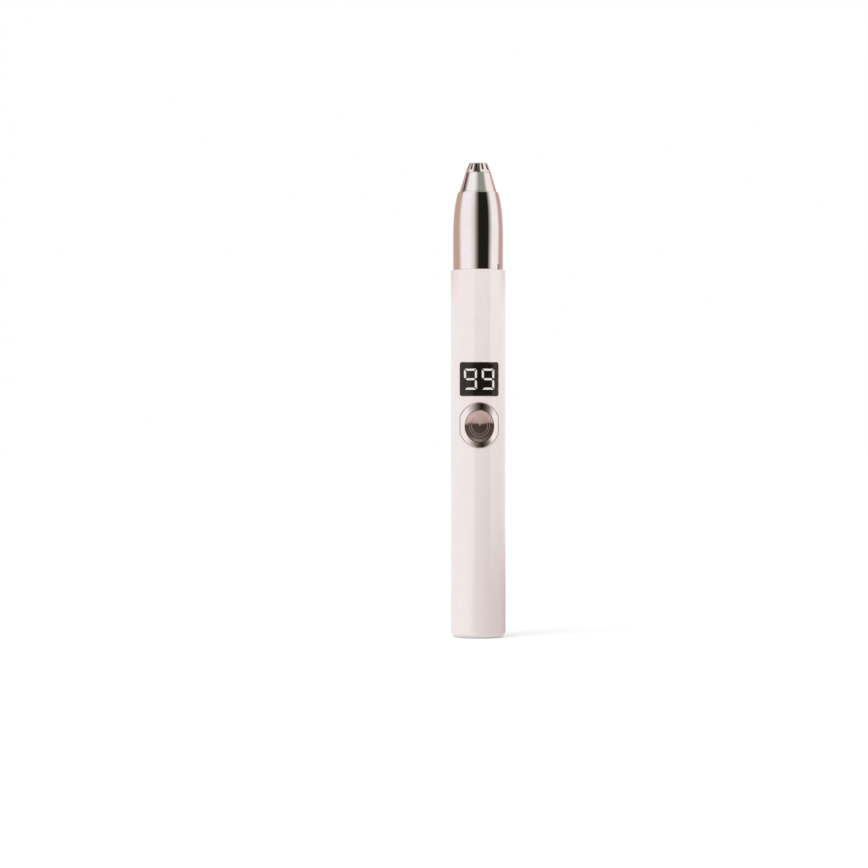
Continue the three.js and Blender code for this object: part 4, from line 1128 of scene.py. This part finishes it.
def add_lamps():
    key = add_lamp("key", "SUN", azimuth=-48, elevation=42, energy=1.08, colour=(0.94, 1, 0.99))
    key.angle = math.radians(KEY_SOFTNESS)
    fill = add_lamp("fill", "SPOT", azimuth=62, elevation=30, energy=4.4, colour=(0.95, 1, 1))
    fill.spot_size = math.radians(FILL_SPREAD)
    fill.spot_blend = 1.0
    fill.shadow_soft_size = FILL_RADIUS * MM


def add_camera():
    lens = bpy.data.cameras.new("camera")
    lens.sensor_width = CAMERA_SENSOR
    lens.lens = CAMERA_LENS
    lens.clip_start = CAMERA_NEAR * MM
    camera = linked("camera", lens)
    camera.location = CAMERA_SPIN @ Vector((-CAMERA_SIDE, -CAMERA_DISTANCE, CAMERA_HEIGHT)) * MM
    camera.rotation_euler = (math.pi / 2, 0, math.radians(CAMERA_TURN))
    bpy.context.scene.camera = camera


# Cards: toned rings round the pen that only its gloss and chrome show

WHITE = (255, 248, 246)
LILAC = (255, 249, 255)
MILK = (255, 254, 251)
CREAM = (255, 247, 245)
WARM = (255, 228, 214)
PEARL = (236, 226, 222)
ROSE = (214, 170, 172)
DUSK = (196, 152, 151)
TAN = (198, 172, 154)
PINK = (200, 164, 166)
TAUPE = (140, 128, 122)
GREY = (150, 154, 147)
COCOA = (134, 94, 78)
UMBER = (92, 66, 69)
SLATE = (92, 80, 71)
SOOT = (76, 71, 67)
BLACK = (36, 31, 27)

# Stripes, as (from, to, tone), by how far a mirror on the pen faces to the right of the camera
TAIL = [(-90, -18, WHITE), (-4, 24, BLACK), (44, 70, DUSK), (90, 90, GREY)]
BODY = [(-90, -11, WHITE), (-5, 24, BLACK), (27, 90, WHITE)]
RIM_LOW = [(-90, -54, WHITE), (-46, -24, CREAM), (-7, -7, TAUPE), (0, 0, SLATE), (7, 7, BLACK)]
RIM_LOW += [(15, 15, SLATE), (21, 21, TAUPE), (30, 46, CREAM), (54, 90, WHITE)]
RIM_HIGH = [(-90, -54, WHITE), (-46, -24, CREAM), (-6, -6, TAUPE), (-1, -1, SLATE), (5, 9, BLACK)]
RIM_HIGH += [(16, 16, SLATE), (22, 22, TAUPE), (33, 46, CREAM), (54, 90, WHITE)]
WINDOW = [(-90, -54, WHITE), (-46, -20, WARM), (-6, 27, COCOA), (33, 46, WARM), (54, 90, WHITE)]
BARREL = [(-90, -84, PEARL), (-74, -74, ROSE), (-66, -50, TAN), (-40, -20, LILAC), (-11, -11, PEARL)]
BARREL += [(-4, -4, TAUPE), (1, 22, BLACK), (33, 49, WHITE), (56, 68, PINK), (80, 90, PEARL)]
CONE = [(-90, -80, PEARL), (-70, -60, PINK), (-54, -49, UMBER), (-34, -13, MILK), (2, 20, GREY)]
CONE += [(31, 53, WHITE), (60, 69, PINK), (80, 90, PEARL)]
CROWN = [(-90, -80, PEARL), (-70, -56, PINK), (-42, -27, WHITE), (-20, 7, SOOT), (13, 54, WHITE)]
CROWN += [(61, 69, PINK), (80, 90, PEARL)]


def toned(stripes, face):
    """The tone for a facing angle, in linear light, blended between stripes."""
    for (_, last, tone), (first, _, after) in zip(stripes, stripes[1:]):
        if face <= last:
            return Vector(linear(*tone))
        if face < first:
            share = (face - last) / (first - last)
            return Vector(linear(*tone)).lerp(Vector(linear(*after)), share)
    return Vector(linear(*stripes[-1][2]))


def mirrored(face, tilt, height, reach):
    """Where a mirror at that height and reach from the axis shows the ring of cards.

    The mirror faces that far to the right of the camera, and it is tilted up.
    """
    f, t = math.radians(face), math.radians(tilt)
    out = Vector((math.sin(f), -math.cos(f), 0))
    normal = out * math.cos(t) + Vector((0, 0, math.sin(t)))
    sight = Vector((0, 1, (height - CAMERA_HEIGHT) / CAMERA_DISTANCE))
    away = sight - 2 * sight.dot(normal) * normal
    away /= math.hypot(away.x, away.y)
    start = out * reach
    along = start.dot(away)
    start += away * (math.sqrt(along**2 + CARD_RADIUS**2 - reach**2) - along)
    return CAMERA_SPIN @ start + Vector((0, 0, height))


def level(height):
    """The edge of a card at one height."""
    return lambda face: Vector((*mirrored(face, 0, height, BODY_RADIUS).xy, height))


def sloped(tilt, height, radius):
    """The edge of a card as a mirror with that tilt shows it, at a height and radius of the head."""
    return lambda face: mirrored(face, tilt, height, radius)


def card_surface(tree, surface):
    tone = tree.nodes.new("ShaderNodeVertexColor")
    tone.layer_name = "tone"
    light = tree.nodes.new("ShaderNodeEmission")
    tree.links.new(tone.outputs["Color"], light.inputs["Color"])
    tree.links.new(light.outputs[0], surface)


def add_card(name, low, low_stripes, high, high_stripes):
    """A card from one edge with its stripes up to another, closed round the pen."""
    sides = (low, low_stripes), (high, high_stripes)
    verts, tones = [], []
    for face in range(-90, 91):
        for edge, stripes in sides:
            verts.append(edge(face) * MM)
            tones.append(toned(stripes, face))
    count = len(verts)
    quads = [(k, k + 1, (k + 3) % count, (k + 2) % count) for k in range(0, count, 2)]
    mesh = bpy.data.meshes.new(name)
    mesh.from_pydata(verts, [], quads)
    colours = mesh.color_attributes.new("tone", "FLOAT_COLOR", "POINT")
    for point, tone in zip(colours.data, tones):
        point.color = tone
    mesh.materials.append(stage_material(name, card_surface))
    card = linked(name, mesh)
    card.visible_camera = False
    card.visible_diffuse = False
    card.visible_transmission = False
    card.visible_volume_scatter = False
    card.visible_shadow = False


# From the floor up: each card's stripes at its lower and its upper edge, and its upper edge
CARDS = [
    ("tail_card", TAIL, TAIL, level(11.5)),
    ("shade_card", TAIL, BODY, level(32.3)),
    ("grip_card", BODY, BODY, level(53.9)),
    ("rim_low_card", RIM_LOW, RIM_LOW, level(60.3)),
    ("rim_high_card", RIM_HIGH, RIM_HIGH, level(67.8)),
    ("window_card", WINDOW, WINDOW, level(78.6)),
    ("upper_card", BODY, BODY, level(93.6)),
    ("collar_card", BODY, BARREL, level(105.2)),
    ("barrel_card", BARREL, BARREL, sloped(14.8, BARREL_TOP, BARREL_TOP_RADIUS)),
    ("step_card", BARREL, CONE, sloped(16.95, BARREL_TOP, BARREL_TOP_RADIUS)),
    ("cone_card", CONE, CONE, sloped(17.8, CONE_TOP, CONE_TOP_RADIUS)),
    ("brim_card", CONE, CROWN, sloped(21.3, CONE_TOP, CONE_TOP_RADIUS)),
    ("crown_card", CROWN, CROWN, level(270)),
]

add_floor()
add_world()
add_lamps()
low = level(0)
for name, low_stripes, high_stripes, high in CARDS:
    add_card(name, low, low_stripes, high, high_stripes)
    low = high
add_camera()

bpy.context.scene.view_settings.view_transform = "Standard"
